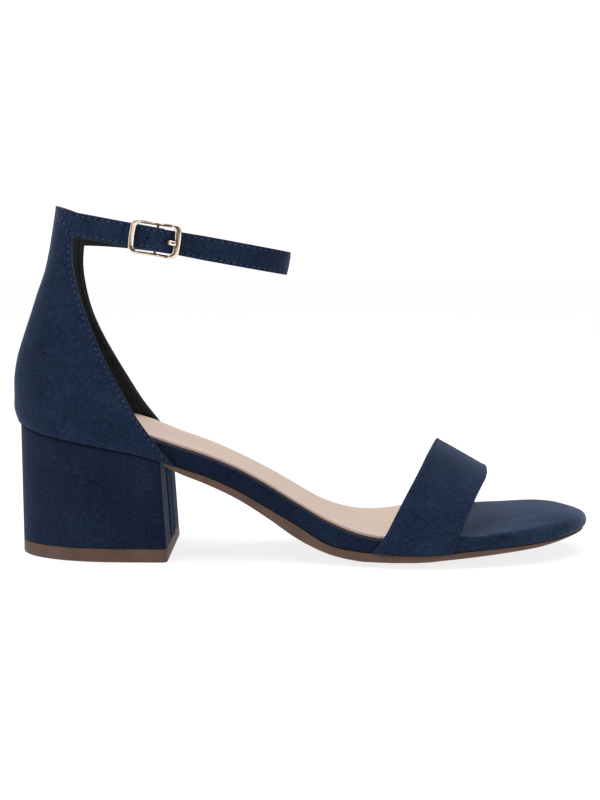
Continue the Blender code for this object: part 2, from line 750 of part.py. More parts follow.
def make_vamp_band():
    """Wide band over the toes, open in front and behind."""
    spread = [0.5 - 0.5 * math.cos(math.pi * share) for share in np.linspace(0.03, 0.97, 27)]
    turns = [0.0] + spread + [1.0]
    rows = [[vamp_point(turn, run) for run in np.linspace(1, 0, 7)] for turn in turns]
    return skin("vamp_band", rows, VAMP_WALL)


def make_buckle_frame():
    """Rounded frame whose rails dip inward to the centre bar and whose end bars are thicker."""
    place = buckle_matrix()
    half_long = (BUCKLE_LENGTH - BUCKLE_BAR) / 2
    half_high = (BUCKLE_HEIGHT - BUCKLE_WIRE) / 2
    rail = half_long - BUCKLE_CORNER
    side = half_high - BUCKLE_CORNER
    outline = []
    for quarter, (sign_x, sign_z) in enumerate(((1, 1), (-1, 1), (-1, -1), (1, -1))):
        for turn in np.linspace(0, math.pi / 2, 5):
            angle = turn + quarter * math.pi / 2
            outline.append((sign_x * rail + BUCKLE_CORNER * math.cos(angle),
                            sign_z * side + BUCKLE_CORNER * math.sin(angle)))
        if quarter % 2 == 0:
            for step in np.linspace(rail, -rail, 7)[1:-1]:
                outline.append((sign_x * step, sign_z * half_high))
        else:
            outline.append((sign_x * half_long, 0.0))
    points = []
    thickness = []
    for x, z in outline:
        swell = max(0.0, (abs(x) - rail) / BUCKLE_CORNER)
        bow = BUCKLE_BOW * swell * (1 - (z / half_high) ** 2)
        arch = BUCKLE_ARCH * min(1.0, abs(x) / rail) ** 2
        points.append(place @ Vector((x + math.copysign(bow, x), arch, z)))
        thickness.append(1 + (BUCKLE_BAR / BUCKLE_WIRE - 1) * swell)
    frame = wire("buckle_frame", points, BUCKLE_WIRE, thickness, cyclic=True)
    bar = rod(place.translation, place.to_3x3().col[2], CENTRE_BAR / 2, 2 * half_high)
    boolean(frame, tool_object("centre_bar", bar), "UNION")
    return frame


def make_buckle_prong():
    """Prong hooked round the centre bar, up through the tail's hole and over the end bar."""
    place = buckle_matrix()
    ring = CENTRE_BAR / 2 + GAP + PRONG_WIRE / 2
    points = []
    for turn in np.linspace(240, 90, 11):
        points.append((ring * math.cos(math.radians(turn)), ring * math.sin(math.radians(turn))))
    centre, direction = prong_crossing()
    start = centre - direction * (centre.y - ring) / direction.y
    end = centre + direction * BUCKLE_WIRE
    bar_along = (BUCKLE_LENGTH - BUCKLE_BAR) / 2
    over = BUCKLE_ARCH + BUCKLE_BAR / 2 + GAP + PRONG_WIRE / 2
    points += [
        (start.x, ring),
        (end.x, end.y),
        (bar_along - PRONG_WIRE * 0.95, over - PRONG_WIRE * 0.35),
        (bar_along - PRONG_WIRE * 0.30, over),
        (bar_along + BUCKLE_BAR * 0.35, over),
    ]
    return wire("buckle_prong", [place @ Vector((x, out, 0)) for x, out in points], PRONG_WIRE)


def finish(body, colour, roughness, metallic):
    """Give a piece its own Principled material."""
    material = bpy.data.materials.new(body.name)
    material.use_nodes = True
    shader = material.node_tree.nodes["Principled BSDF"]
    shader.inputs["Base Color"].default_value = colour
    shader.inputs["Roughness"].default_value = roughness
    shader.inputs["Metallic"].default_value = metallic
    body.data.materials.append(material)


def main():
    pieces = [
        (make_outsole(), BROWN, 0.60, 0.0),
        (make_footbed(), NAVY, 0.85, 0.0),
        (make_insole(), BEIGE, 0.50, 0.0),
        (make_heel_block(), NAVY, 0.85, 0.0),
        (make_heel_top_piece(), BROWN, 0.60, 0.0),
        (make_heel_upper(), NAVY, 0.85, 0.0),
        (make_vamp_band(), NAVY, 0.85, 0.0),
        (make_buckle_frame(), GOLD, 0.20, 1.0),
        (make_buckle_prong(), GOLD, 0.20, 1.0),
    ]
    corners = []
    for body, colour, roughness, metallic in pieces:
        finish(body, colour, roughness, metallic)
        shape = body.evaluated_get(bpy.context.evaluated_depsgraph_get())
        corners += [tuple(corner) for corner in shape.bound_box]
    middle = (np.min(corners, axis=0) + np.max(corners, axis=0)) / 2
    root = bpy.data.objects.new("block_heel_sandal", None)
    PARTS.objects.link(root)
    root.location = (-middle[0], -middle[1], 0)
    for body in list(PARTS.objects) + list(CUTTERS.objects):
        if body != root:
            body.parent = root


for old in list(bpy.data.objects):
    bpy.data.objects.remove(old)
PARTS = bpy.data.collections.new("block_heel_sandal")
bpy.context.scene.collection.children.link(PARTS)
CUTTERS = bpy.data.collections.new("cutters")
bpy.context.scene.collection.children.link(CUTTERS)
main()
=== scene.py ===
"""Looks of the block heel sandal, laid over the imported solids.

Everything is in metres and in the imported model's frame. The pieces follow the same sizes as
the solids, with finer surfaces, rounded edges, linings, creases and stitches.
"""
import math

import bmesh
import bpy
import numpy as np
from mathutils import Matrix, Vector


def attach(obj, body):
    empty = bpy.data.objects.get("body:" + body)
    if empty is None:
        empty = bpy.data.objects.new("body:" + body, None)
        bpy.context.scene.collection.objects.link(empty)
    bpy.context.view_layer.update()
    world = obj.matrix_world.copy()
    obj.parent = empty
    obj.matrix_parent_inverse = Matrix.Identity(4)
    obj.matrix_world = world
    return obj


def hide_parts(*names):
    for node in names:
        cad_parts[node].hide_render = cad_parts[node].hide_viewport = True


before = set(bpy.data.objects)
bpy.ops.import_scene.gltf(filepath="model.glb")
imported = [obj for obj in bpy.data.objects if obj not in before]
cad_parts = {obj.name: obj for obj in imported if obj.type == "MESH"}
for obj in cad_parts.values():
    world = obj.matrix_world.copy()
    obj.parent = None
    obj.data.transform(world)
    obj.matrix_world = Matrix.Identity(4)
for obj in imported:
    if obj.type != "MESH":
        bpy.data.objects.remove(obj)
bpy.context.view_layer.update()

# Where the last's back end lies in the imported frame
ROOT = np.array([-0.119631, -0.00048, 0.0])

OUTER = -1
INNER = 1
GAP = 0.0003

# Last and sole
LENGTH = 0.240
BALL_WIDTH = 0.0785
SEAT_WIDTH = 0.0518
SEAT_HEIGHT = 0.0594
TOE_SPRING = 0.0048
FOOTBED_THICKNESS = 0.0080
OUTSOLE_THICKNESS = 0.0053
OUTSOLE_LIP = 0.0005
TOE_TIP_INSET = 0.0018
EDGE_ROLL = 0.0020
ROLL_WIDTH = 0.0095
FLAT_PRESS = 0.0001
INSOLE_INSET = 0.0007
FOOTBED_EDGE_RADIUS = 0.0012
TOE_EDGE_RADIUS = 0.0030
TOE_LOWER_RADIUS = 0.0020
SEAT_BACK = 0.0146 * LENGTH
HEEL_ARC_END = 0.1875 * LENGTH
TOE_ARC_START = 0.7083 * LENGTH
TOE_TIP = 0.995 * LENGTH
BALL_ALONG = 0.65 * LENGTH
HEEL_ROUNDNESS = 2.15
TOE_ROUNDNESS = 2.0

# Heel
HEEL_BREAST_TOP = 0.2642 * LENGTH
HEEL_BREAST_LEAN = 0.0026
HEEL_BACK_OVERHANG = 0.0001
HEEL_SIDE_OVERHANG = 0.0015
HEEL_CORNER = 0.0020
HEEL_GAP = 0.00012
TOP_PIECE_THICKNESS = 0.0055

# Upper
COUNTER_WALL = 0.0018
COUNTER_TOP_HEIGHT = 0.1424
COUNTER_TOP_FALL = 0.0036
VAMP_WALL = 0.0017
VAMP_CLEARANCE = 0.0006
VAMP_REAR_RISE = 0.0342
VAMP_FRONT_RISE = 0.0208
VAMP_CREST_SHIFT = 0.0020
VAMP_ROUNDNESS = 2.4
CREST_LOWER = {"rear": 0.0005, "front": 0.0010}

# Ankle strap
STRAP_WIDTH = 0.0094
STRAP_THICKNESS = 0.0015
STRAP_TILT = math.radians(10.3)
STRAP_REAR_ALONG = 0.1125 * LENGTH
STRAP_REAR_HEIGHT = COUNTER_TOP_HEIGHT - 0.81 * STRAP_WIDTH
STRAP_SEAT_SHARE = 0.93
STRAP_BITE = 0.00045
STRAP_END_SLANT = 0.0100
STRAP_END_RISE = 0.0002
STRAP_END_LEAN = 0.15
SHORT_STRAP_DOUBLED = 0.017
SHORT_STRAP_FLARE = 0.010
LONG_STRAP_WIDTH = STRAP_WIDTH * 1.01
TAIL_END_WIDTH = STRAP_WIDTH * 0.93
STRAP_EDGE_UP = 0.055
STRAP_EDGE_IN = 0.36
STRAP_EDGE_TURNS = (22, 45, 68, 90)
STRAP_EDGE_STEPS = 2
STRAP_STEP = 0.0005
DOUBLED_SHARE = 0.6
HOLE_NUMBERS = (-1, 1, 2)
# The seam across a strap's start, in steps at its foot and at its top, and where the rows of
# stitches end short of the buckle's middle and of the tail's end
SEAM_STEPS = (9.4, 6.6)
SHORT_STITCHES_END = 0.0120
TAIL_STITCHES_END = 0.0016
INNER_STRAP_DROP = 0.0036
INNER_DROP_POWER = 4.5
LOOP_FRONT = 0.474 * LENGTH
LOOP_HALF_WIDTH = 0.0222
HOLE_PITCH = 0.0079
HOLE_DIAMETER = 0.0014

# Buckle
BUCKLE_ALONG = 0.2596 * LENGTH
BUCKLE_TILT = math.radians(8.3)
BUCKLE_LENGTH = 0.0193
BUCKLE_WIRE = 0.0016
BUCKLE_BAR = 0.0021
BUCKLE_ROOM = 0.00055
BUCKLE_HEIGHT = STRAP_WIDTH + 2 * (BUCKLE_WIRE + BUCKLE_ROOM)
BUCKLE_CORNER = 0.0022
BUCKLE_BOW = 0.0005
BAR_LEAN = math.radians(12)
CENTRE_BAR = 0.0014
CENTRE_BAR_SEEN = 0.0010
PRONG_WIRE = 0.0015
PRONG_SLOPE = math.radians(60)
PRONG_HOLE_ALONG = 0.262 * BUCKLE_LENGTH
PRONG_CROSS_ALONG = 0.233 * BUCKLE_LENGTH
PRONG_DROP = 0.080
# How far the metal looks for close surfaces to paint its shade and dark reflection
OCCLUSION_SHADE_REACH = 0.0040
TAIL_LENGTH = 0.58 * BUCKLE_LENGTH
FOLD_HALF = CENTRE_BAR / 2 + GAP + STRAP_THICKNESS
TAIL_RIDE = FOLD_HALF + GAP + STRAP_THICKNESS / 2
BUCKLE_ARCH = 0.74 * TAIL_RIDE + STRAP_THICKNESS / 2 + GAP + BUCKLE_BAR / 2

# Stitching
STITCH_PITCH = 0.0027
STITCH_LENGTH = 0.0016
STITCH_WIDTH = 0.00050
COUNTER_STITCH_INSET = 0.0021
STITCHES_BELOW_STRAP = 0.0012
STRAP_STITCH_INSET = 0.0011
# Length, width and height of the near-black beads that paint the shade in the needle holes
PIT_SIZE = (0.00085, 0.00055, 0.00012)
TROUGH_DEPTH = 0.00022
COUNTER_TROUGH = 0.00050
STRAP_TROUGH = 0.00042

# Skins, seen from the outside in: a suede face over a lining
COUNTER_SUEDE_WALL = 0.0010
VAMP_SUEDE_WALL = 0.0014
SKIN_GAP = 0.00002
COUNTER_ROUND = 0.00042
VAMP_ROUND = 0.0008
VAMP_INNER_ROUND = 0.00055
LINING_ROUND = 0.0002

# Where an edge is folded over, the suede stands out
COUNTER_FOLD = 0.0016
COUNTER_FRONT_LIFT = 0.00016
COUNTER_TOP_LIFT = 0.00012
VAMP_FOLD = 0.0022
VAMP_FOLD_LIFT = 0.00012
VAMP_GROOVE_INSET = 0.0030
VAMP_GROOVE = 0.00008
VAMP_GROOVE_WIDTH = 0.0009
STRAP_CROWN = 0.00010

# Camera fitted to the photo: place from the last's back end, tilt and lens
CAMERA_PLACE = (0.11898, -0.520, 0.1177)
CAMERA_TILT = math.radians(6.058)
CAMERA_LENS = 56.54
CAMERA_SENSOR = 36.0

# Node of the imported model whose solid the upper's pieces replace
UPPER = "counter_and_ankle_strap"


def smooth(xs, ys, x):
    """Cubic curve through the points, with slopes taken from their neighbours."""
    slopes = np.gradient(ys, xs)
    x = np.clip(x, xs[0], xs[-1])
    i = np.clip(np.searchsorted(xs, x) - 1, 0, len(xs) - 2)
    step = xs[i + 1] - xs[i]
    t = (x - xs[i]) / step
    start = ys[i] * (1 + 2 * t) * (1 - t) ** 2 + slopes[i] * step * t * (1 - t) ** 2
    end = ys[i + 1] * t * t * (3 - 2 * t) + slopes[i + 1] * step * t * t * (t - 1)
    return start + end


def curves(names, rows):
    """A short table as a smooth curve for each named column over the first one."""
    table = np.array(rows)
    return lambda name, x: smooth(table[:, 0], table[:, names.index(name)], x)


PLAN = curves(("along", "outer", "inner"), [
    (0.1875, 1.000, 1.000),
    (0.2500, 0.956, 0.905),
    (0.3000, 0.914, 0.775),
    (0.3500, 0.858, 0.652),
    (0.4042, 0.814, 0.560),
    (0.4583, 0.828, 0.545),
    (0.5083, 0.856, 0.575),
    (0.5583, 0.904, 0.660),
    (0.6083, 0.954, 0.785),
    (0.6583, 0.980, 0.915),
    (0.7083, 0.968, 0.990),
])

PROFILE = curves(("along", "rise", "spring", "footbed", "outsole", "roll"), [
    (0.0000, 1.000, 0.000, 0.530, 0.20, 0.20),
    (0.0625, 0.969, 0.000, 0.850, 0.20, 0.20),
    (0.1250, 0.925, 0.000, 0.930, 0.20, 0.20),
    (0.1875, 0.872, 0.000, 0.965, 0.20, 0.20),
    (0.2417, 0.811, 0.000, 0.955, 0.20, 0.20),
    (0.2667, 0.771, 0.000, 0.945, 0.25, 0.25),
    (0.2917, 0.727, 0.000, 0.935, 0.50, 0.35),
    (0.3417, 0.638, 0.000, 0.915, 0.68, 0.40),
    (0.3917, 0.534, 0.000, 0.975, 0.76, 0.42),
    (0.4417, 0.409, 0.000, 1.060, 0.90, 0.45),
    (0.4917, 0.265, 0.000, 1.040, 1.18, 0.60),
    (0.5417, 0.127, 0.000, 1.075, 0.98, 0.85),
    (0.5917, 0.035, 0.000, 0.790, 1.05, 1.00),
    (0.6500, 0.000, 0.000, 0.645, 1.00, 1.05),
    (0.7083, 0.000, 0.125, 0.710, 0.94, 1.25),
    (0.7708, 0.000, 0.460, 0.775, 0.80, 1.00),
    (0.8333, 0.000, 0.690, 0.800, 0.68, 0.90),
    (0.8958, 0.000, 0.930, 0.830, 0.57, 0.80),
    (0.9500, 0.000, 1.060, 0.760, 0.37, 0.60),
    (1.0000, 0.000, 1.100, 0.640, 0.24, 0.40),
])

COUNTER = curves(("height", "back", "front", "reach", "inner", "width"), [
    (0.00, 0.0097, 0.2892, 0.2892, -0.0057, 1.000),
    (0.06, 0.0032, 0.2680, 0.2680, -0.0106, 1.010),
    (0.12, 0.0033, 0.2498, 0.2498, -0.0120, 1.000),
    (0.20, 0.0034, 0.2250, 0.2215, -0.0118, 0.930),
    (0.30, 0.0090, 0.1989, 0.1900, -0.0089, 0.790),
    (0.40, 0.0204, 0.1746, 0.1803, -0.0070, 0.680),
    (0.50, 0.0332, 0.1543, 0.1820, -0.0080, 0.605),
    (0.60, 0.0457, 0.1378, 0.1830, -0.0087, 0.565),
    (0.70, 0.0592, 0.1251, 0.1812, -0.0065, 0.550),
    (0.80, 0.0683, 0.1176, 0.1783, -0.0040, 0.550),
    (0.90, 0.0753, 0.1180, 0.1762, -0.0012, 0.560),
    (1.00, 0.0816, 0.1214, 0.1750, 0.0005, 0.565),
])

STRAP_ON_COUNTER = (0.36, 0.52, 0.68, 0.84, 0.98)

LOOP = [
    (0.125, 0.838),
    (0.303, 0.967),
    (0.481, 1.000),
    (0.659, 0.943),
    (0.814, 0.771),
    (0.926, 0.505),
    (0.985, 0.235),
    (1.000, 0.000),
]

TAIL = curves(("along", "out"), [
    (-0.60, 0.52),
    (-0.44, 0.64),
    (-0.20, 0.92),
    (0.00, 1.00),
    (0.16, 0.99),
    (0.28, 0.84),
    (0.42, 0.60),
    (0.70, 0.21),
    (0.95, 0.00),
])

# place, lean, skew and belly of the vamp band's rear and front edge
VAMP_CUTS = [
    (0.6317, 0.526, 0.190, -0.0018),
    (0.7596, 0.410, 0.160, 0.0036),
]

# how far the vamp's rear edge stands ahead of its cut at a share of the climb, and its front
# edge at a share of the turn from the outer foot over the crest to the inner foot
VAMP_REAR_BOW = curves(("climb", "ahead"), [
    (0.00, 0.00000),
    (0.20, 0.00100),
    (0.40, 0.00085),
    (0.60, 0.00070),
    (0.75, 0.00065),
    (0.85, 0.00050),
    (0.92, 0.00025),
    (1.00, 0.00010),
])
VAMP_FRONT_BOW = curves(("turn", "ahead"), [
    (0.00, 0.00000),
    (0.06, -0.00030),
    (0.14, -0.00040),
    (0.22, -0.00040),
    (0.27, -0.00020),
    (0.31, 0.00015),
    (0.35, 0.00050),
    (0.39, 0.00085),
    (0.43, 0.00090),
    (0.46, 0.00080),
    (0.50, 0.00050),
    (0.56, -0.00010),
    (0.61, -0.00070),
    (0.66, -0.00110),
    (0.75, -0.00120),
    (0.90, -0.00050),
    (1.00, 0.00000),
])

# how far the footbed's outer and inner top edge stand above the plain last
TWIST = curves(("along", "outer", "inner"), [
    (0.20, 0.00000, 0.00000),
    (0.27, 0.00060, -0.00120),
    (0.33, 0.00090, -0.00075),
    (0.40, 0.00075, -0.00075),
    (0.47, 0.00040, -0.00085),
    (0.53, 0.00045, -0.00135),
    (0.58, 0.00055, -0.00120),
    (0.64, 0.00045, -0.00110),
    (0.70, 0.00020, -0.00060),
    (0.76, 0.00000, 0.00000),
])

# how far the toe's top stands above the plain last
CROWN = curves(("along", "lift", "settle"), [
    (0.76, 0.0000, 0.0000),
    (0.79, 0.0001, -0.0008),
    (0.83, 0.0003, -0.0006),
    (0.88, 0.0007, -0.0003),
    (0.93, 0.0014, 0.0002),
    (0.96, 0.0018, 0.0004),
    (1.00, 0.0018, 0.0003),
])


# Shape functions

def mix(low, high, share):
    return low + (high - low) * share


def unit(vectors):
    return vectors / np.linalg.norm(vectors, axis=-1, keepdims=True)


def path_lengths(points):
    """Distance of each point from the start of its row."""
    steps = np.linalg.norm(np.diff(points, axis=-2), axis=-1)
    start = np.zeros((*steps.shape[:-1], 1))
    return np.concatenate((start, np.cumsum(steps, axis=-1)), axis=-1)


def around(count):
    """Even turns of a full circle."""
    return np.linspace(0, 2 * math.pi, count + 1)[:-1]


def ease(x):
    """Smooth step from 0 to 1."""
    x = np.clip(x, 0.0, 1.0)
    return x * x * (3 - 2 * x)


def bump(x, middle, width):
    """Soft rise of height 1 round a middle."""
    return np.exp(-((x - middle) / width) ** 2)


def profile(name, along):
    return PROFILE(name, np.asarray(along) / LENGTH)


BALL_TOP = (profile("footbed", BALL_ALONG) * FOOTBED_THICKNESS + GAP
            + profile("outsole", BALL_ALONG) * OUTSOLE_THICKNESS - FLAT_PRESS)


def footbed_top(along):
    climb = profile("rise", along) * (SEAT_HEIGHT - BALL_TOP)
    return BALL_TOP + climb + profile("spring", along) * TOE_SPRING


def footbed_bottom(along):
    return footbed_top(along) - profile("footbed", along) * FOOTBED_THICKNESS


def outsole_top(along):
    return footbed_bottom(along) - GAP


def outsole_bottom(along):
    thick = profile("outsole", along) * OUTSOLE_THICKNESS
    return np.maximum(outsole_top(along) - thick, 0.0)


def half_width(along, side):
    share = (along - HEEL_ARC_END) / (TOE_ARC_START - HEEL_ARC_END)
    base = (SEAT_WIDTH * (1 - share) + BALL_WIDTH * share) / 2
    return base * PLAN("outer" if side == OUTER else "inner", along / LENGTH)


def plan(along, side, grow=0.0):
    """Points of the plan's edge on one side, grown outward by a distance."""
    along = np.asarray(along, float)
    grow = np.broadcast_to(np.asarray(grow, float), along.shape)
    rear = np.clip((HEEL_ARC_END - along) / (HEEL_ARC_END - SEAT_BACK), 0.0, 1.0)
    fore = np.clip((along - TOE_ARC_START) / (TOE_TIP - TOE_ARC_START), 0.0, 1.0)
    width = ((1 - rear ** HEEL_ROUNDNESS) ** (1 / HEEL_ROUNDNESS)
             * (1 - fore ** TOE_ROUNDNESS) ** (1 / TOE_ROUNDNESS))
    middle = np.clip(along, HEEL_ARC_END, TOE_ARC_START)
    half = (half_width(middle, side) + grow) * width
    x = middle - (HEEL_ARC_END - SEAT_BACK + grow) * rear
    x = x + (TOE_TIP - TOE_ARC_START + grow) * fore
    return x, side * half


def stations(start, end, count):
    """Distances along the shoe, closer together where an end is rounded."""
    places = []
    if start < HEEL_ARC_END:
        turns = np.linspace(0.012, math.pi / 2, count // 3)
        places.append(HEEL_ARC_END - (HEEL_ARC_END - SEAT_BACK) * np.cos(turns))
        start = HEEL_ARC_END
    if end > TOE_ARC_START:
        places.append(np.linspace(start, TOE_ARC_START, count // 2)[1:])
        turns = np.linspace(0, math.pi / 2 - 0.012, count // 3)[1:]
        places.append(TOE_ARC_START + (TOE_TIP - TOE_ARC_START) * np.sin(turns))
    else:
        places.append(np.linspace(start, end, count // 2)[1:])
    return np.unique(np.concatenate(places))


def toe_share(along):
    return np.clip((along - TOE_ARC_START) / (TOE_TIP - TOE_ARC_START), 0.0, 1.0)


def edge_radius(along):
    return mix(FOOTBED_EDGE_RADIUS, TOE_EDGE_RADIUS, toe_share(along))


def lower_radius(along):
    return mix(FOOTBED_EDGE_RADIUS / 2, TOE_LOWER_RADIUS, toe_share(along) ** 4)


# Mesh builders

def add_object(name, data):
    body = bpy.data.objects.new(name, data)
    bpy.context.scene.collection.objects.link(body)
    return body


def new_mesh(name, verts, faces):
    """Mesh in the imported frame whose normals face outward."""
    verts = np.asarray(verts, float).reshape(-1, 3) + ROOT
    mesh = bpy.data.meshes.new(name)
    mesh.from_pydata(verts.tolist(), [], faces)
    mesh.validate()
    mesh.update()
    bm = bmesh.new()
    bm.from_mesh(mesh)
    bmesh.ops.recalc_face_normals(bm, faces=bm.faces)
    bm.to_mesh(mesh)
    bm.free()
    return mesh


def piece(name, verts, faces, materials, node):
    """Object of the dressed model that rides on the part's body in place of a node's solid."""
    mesh = new_mesh(name, verts, faces)
    mesh.shade_smooth()
    for material in materials:
        mesh.materials.append(material)
    body = add_object(name, mesh)
    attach(body, "root")
    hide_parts(node)
    return body


def tube_quads(rows, cols, closed=False):
    """Quads between rings of points, round each ring and on to the next one."""
    faces = []
    for i in range(rows if closed else rows - 1):
        j = (i + 1) % rows
        for k in range(cols):
            m = (k + 1) % cols
            faces.append((i * cols + k, i * cols + m, j * cols + m, j * cols + k))
    return faces


def capped_tube(rows, cols):
    last = (rows - 1) * cols
    return tube_quads(rows, cols) + [tuple(range(cols)), tuple(range(last, last + cols))]


def ring_faces(levels, count):
    """Faces of a closed loft: quads between its rings and strips across its two ends."""
    faces = tube_quads(levels, count)
    for low in (0, (levels - 1) * count):
        faces += [(low + i, low + i + 1, low + count - 2 - i, low + count - 1 - i)
                  for i in range(count // 2 - 1)]
    return faces


def slab(places, levels, plain_levels=None):
    """Rings of a loft of the plan. A level gives its inset and height along the shoe. Levels
    above the plain ones are twisted."""
    plain_levels = len(levels) if plain_levels is None else plain_levels
    rings = []
    for number, level in enumerate(levels):
        inset, height = level(places)
        outer = plan(places, OUTER, -inset)
        inner = plan(places, INNER, -inset)
        twisted = 1.0 if number >= plain_levels else 0.0
        outer_height, inner_height = (
            height + twisted * TWIST(side, places / LENGTH) for side in ("outer", "inner"))
        rings.append(np.concatenate((np.stack((*outer, outer_height), axis=1),
                                     np.stack((*inner, inner_height), axis=1)[::-1])))
    return np.array(rings)


def loft(name, rings, materials, node):
    return piece(name, rings, ring_faces(len(rings), len(rings[0])), materials, node)


def grid_normals(grid):
    across = np.gradient(grid, axis=1)
    along = np.gradient(grid, axis=0)
    return unit(np.cross(across, along))


def grid_faces(rows, cols):
    return [(i * cols + j, i * cols + j + 1, (i + 1) * cols + j + 1, (i + 1) * cols + j)
            for i in range(rows - 1) for j in range(cols - 1)]


def wall(name, outside, inside, edge, materials, node, inner_edge=None, ends=1.0):
    """Closed wall between two grids whose rim is rounded over by an edge radius. A second
    material goes on the rim."""
    rows, cols, _ = outside.shape
    thick = outside - inside
    inner_edge = inner_edge or edge

    def inward(grid, amount):
        """The grid with its border points moved in from the rim."""
        moved = grid.copy()
        whole = slice(None)
        for take, near in (((0, whole), (2, whole)), ((-1, whole), (-3, whole)),
                           ((whole, 0), (whole, 2)), ((whole, -1), (whole, -3))):
            run = unit(grid[near] - grid[take])
            moved[take] = moved[take] + run * amount * (ends if take[0] in (0, -1) else 1.0)
        return moved

    def turned(grid, into, radius, turn):
        """A face's grid on its way round the edge, sunk into the wall."""
        angle = math.radians(turn)
        share = radius * (1 - math.cos(angle)) / np.linalg.norm(thick, axis=2, keepdims=True)
        return inward(grid + into * share, radius * (1 - math.sin(angle)))

    layers = [inward(outside, edge)]
    layers += [turned(outside, -thick, edge, turn) for turn in (30, 60, 90)]
    layers += [turned(inside, thick, inner_edge, turn) for turn in (90, 60, 30)]
    layers.append(inward(inside, inner_edge))
    rim = [(0, j) for j in range(cols)]
    rim += [(i, cols - 1) for i in range(1, rows)]
    rim += [(rows - 1, j) for j in range(cols - 2, -1, -1)]
    rim += [(i, 0) for i in range(rows - 2, 0, -1)]
    edges = [np.array([layer[spot] for spot in rim]) for layer in layers[1:-1]]
    verts = [layers[0].reshape(-1, 3), *edges, layers[-1].reshape(-1, 3)]
    starts = [rows * cols + number * len(rim) for number in range(len(edges) + 1)]
    face_quads = grid_faces(rows, cols)
    faces = face_quads + [tuple(starts[-1] + v for v in f[::-1]) for f in face_quads]
    border = [i * cols + j for i, j in rim]
    loops = [border]
    loops += [list(range(start, start + len(rim))) for start in starts[:-1]]
    loops.append([starts[-1] + v for v in border])
    for first, second in zip(loops, loops[1:]):
        for k in range(len(rim)):
            m = (k + 1) % len(rim)
            faces.append((first[k], second[k], second[m], first[m]))
    body = piece(name, np.concatenate(verts), faces, materials, node)
    for polygon in body.data.polygons[2 * len(face_quads):]:
        polygon.material_index = len(materials) - 1
    return body


def even_points(points, step):
    """Evenly spaced points on a smooth curve through the given ones."""
    points = np.array(points, float)
    chords = path_lengths(points)
    count = max(int(round(chords[-1] / step)), 2)
    places = np.linspace(0, chords[-1], count + 1)
    return np.stack([smooth(chords, points[:, k], places) for k in range(points.shape[1])],
                    axis=1)


def resample(points, normals, step, start=0.0):
    """Points at even steps along a dense line, with their normals and directions."""
    run = path_lengths(points)
    places = np.arange(start, run[-1], step)

    def read(values, at):
        return np.stack([np.interp(at, run, values[:, k]) for k in range(3)], axis=1)

    along = read(points, places + step / 4) - read(points, places - step / 4)
    along /= np.maximum(np.linalg.norm(along, axis=1, keepdims=True), 1e-9)
    return read(points, places), unit(read(normals, places)), along


def beads(at, out, along, size, sink):
    """Small ellipsoids in a row: size is length, width and height."""
    rings = 4
    sides = 8
    shape = [(math.cos(turn), math.sin(turn) * math.cos(spin), math.sin(turn) * math.sin(spin))
             for turn in np.linspace(0, math.pi, rings + 2)[1:-1]
             for spin in around(sides)]
    shape = np.array([(1.0, 0.0, 0.0)] + shape + [(-1.0, 0.0, 0.0)])
    shape = np.sign(shape) * np.abs(shape) ** np.array([0.8, 1.0, 1.0])
    shape = shape * np.array(size) / 2
    last = 1 + rings * sides
    faces = []
    for j in range(sides):
        m = (j + 1) % sides
        faces.append((0, 1 + m, 1 + j))
        faces += [(low + j, low + m, low + sides + m, low + sides + j)
                  for low in range(1, last - sides, sides)]
        faces.append((last - sides + j, last - sides + m, last))
    axes = (along, np.cross(out, along), out)
    verts = at[:, None, :] - out[:, None, :] * sink
    for k, axis in enumerate(axes):
        verts = verts + shape[None, :, k:k + 1] * axis[:, None, :]
    all_faces = [tuple(v + n * len(shape) for v in face)
                 for n in range(len(at)) for face in faces]
    return verts.reshape(-1, 3), all_faces


def stitch_row(name, lines):
    """Thread stitches along lines on a surface, with a near-black bead of painted shade for the
    needle hole between each two.
    """
    stitch = (STITCH_LENGTH, STITCH_WIDTH, STITCH_WIDTH * 0.8)
    for kind, start, size, sink, material in (
            ("stitches", STITCH_PITCH / 2, stitch, STITCH_WIDTH * 0.10, THREAD),
            ("hole_shades", STITCH_PITCH, PIT_SIZE, 0.00001, NEEDLE_HOLE_SHADE)):
        verts = []
        faces = []
        base = 0
        for points, normals in lines:
            more, shapes = beads(*resample(points, normals, STITCH_PITCH, start), size, sink)
            verts.append(more)
            faces += [tuple(v + base for v in face) for face in shapes]
            base += len(more)
        piece(f"{name}_{kind}", np.concatenate(verts), faces, [material], UPPER)


# Materials

def new_material(name, values):
    material = bpy.data.materials.new(name)
    material.use_nodes = True
    shader = material.node_tree.nodes["Principled BSDF"]
    for key, value in values.items():
        shader.inputs[key].default_value = value
    return material, material.node_tree, shader


def add_node(tree, kind, values, links):
    """New node with set values and links on its inputs."""
    made = tree.nodes.new(kind)
    for key, value in values.items():
        made.inputs[key].default_value = value
    for key, source in links.items():
        tree.links.new(source, made.inputs[key])
    return made


def noise(tree, scale, detail=2.0, roughness=0.5, stretch=None):
    """Noise in the object's own metres."""
    place = tree.nodes.new("ShaderNodeTexCoord").outputs["Object"]
    if stretch:
        place = add_node(tree, "ShaderNodeMapping", {"Scale": stretch},
                         {"Vector": place}).outputs["Vector"]
    return add_node(tree, "ShaderNodeTexNoise",
                    {"Scale": scale, "Detail": detail, "Roughness": roughness},
                    {"Vector": place}).outputs["Fac"]


def ramp(tree, source, stops):
    """Colours by stops, each a place and a colour."""
    made = add_node(tree, "ShaderNodeValToRGB", {}, {"Fac": source})
    elements = made.color_ramp.elements
    for number in (0, -1):
        elements[number].position = stops[number][0]
        elements[number].color = (*stops[number][1], 1.0)
    for place, colour in stops[1:-1]:
        elements.new(place).color = (*colour, 1.0)
    return made.outputs["Color"]


def multiplied(tree, first, second, share=1.0):
    """One colour multiplied by another."""
    made = tree.nodes.new("ShaderNodeMix")
    made.data_type = "RGBA"
    made.blend_type = "MULTIPLY"
    made.inputs[0].default_value = share
    tree.links.new(first, made.inputs[6])
    tree.links.new(second, made.inputs[7])
    return made.outputs[2]


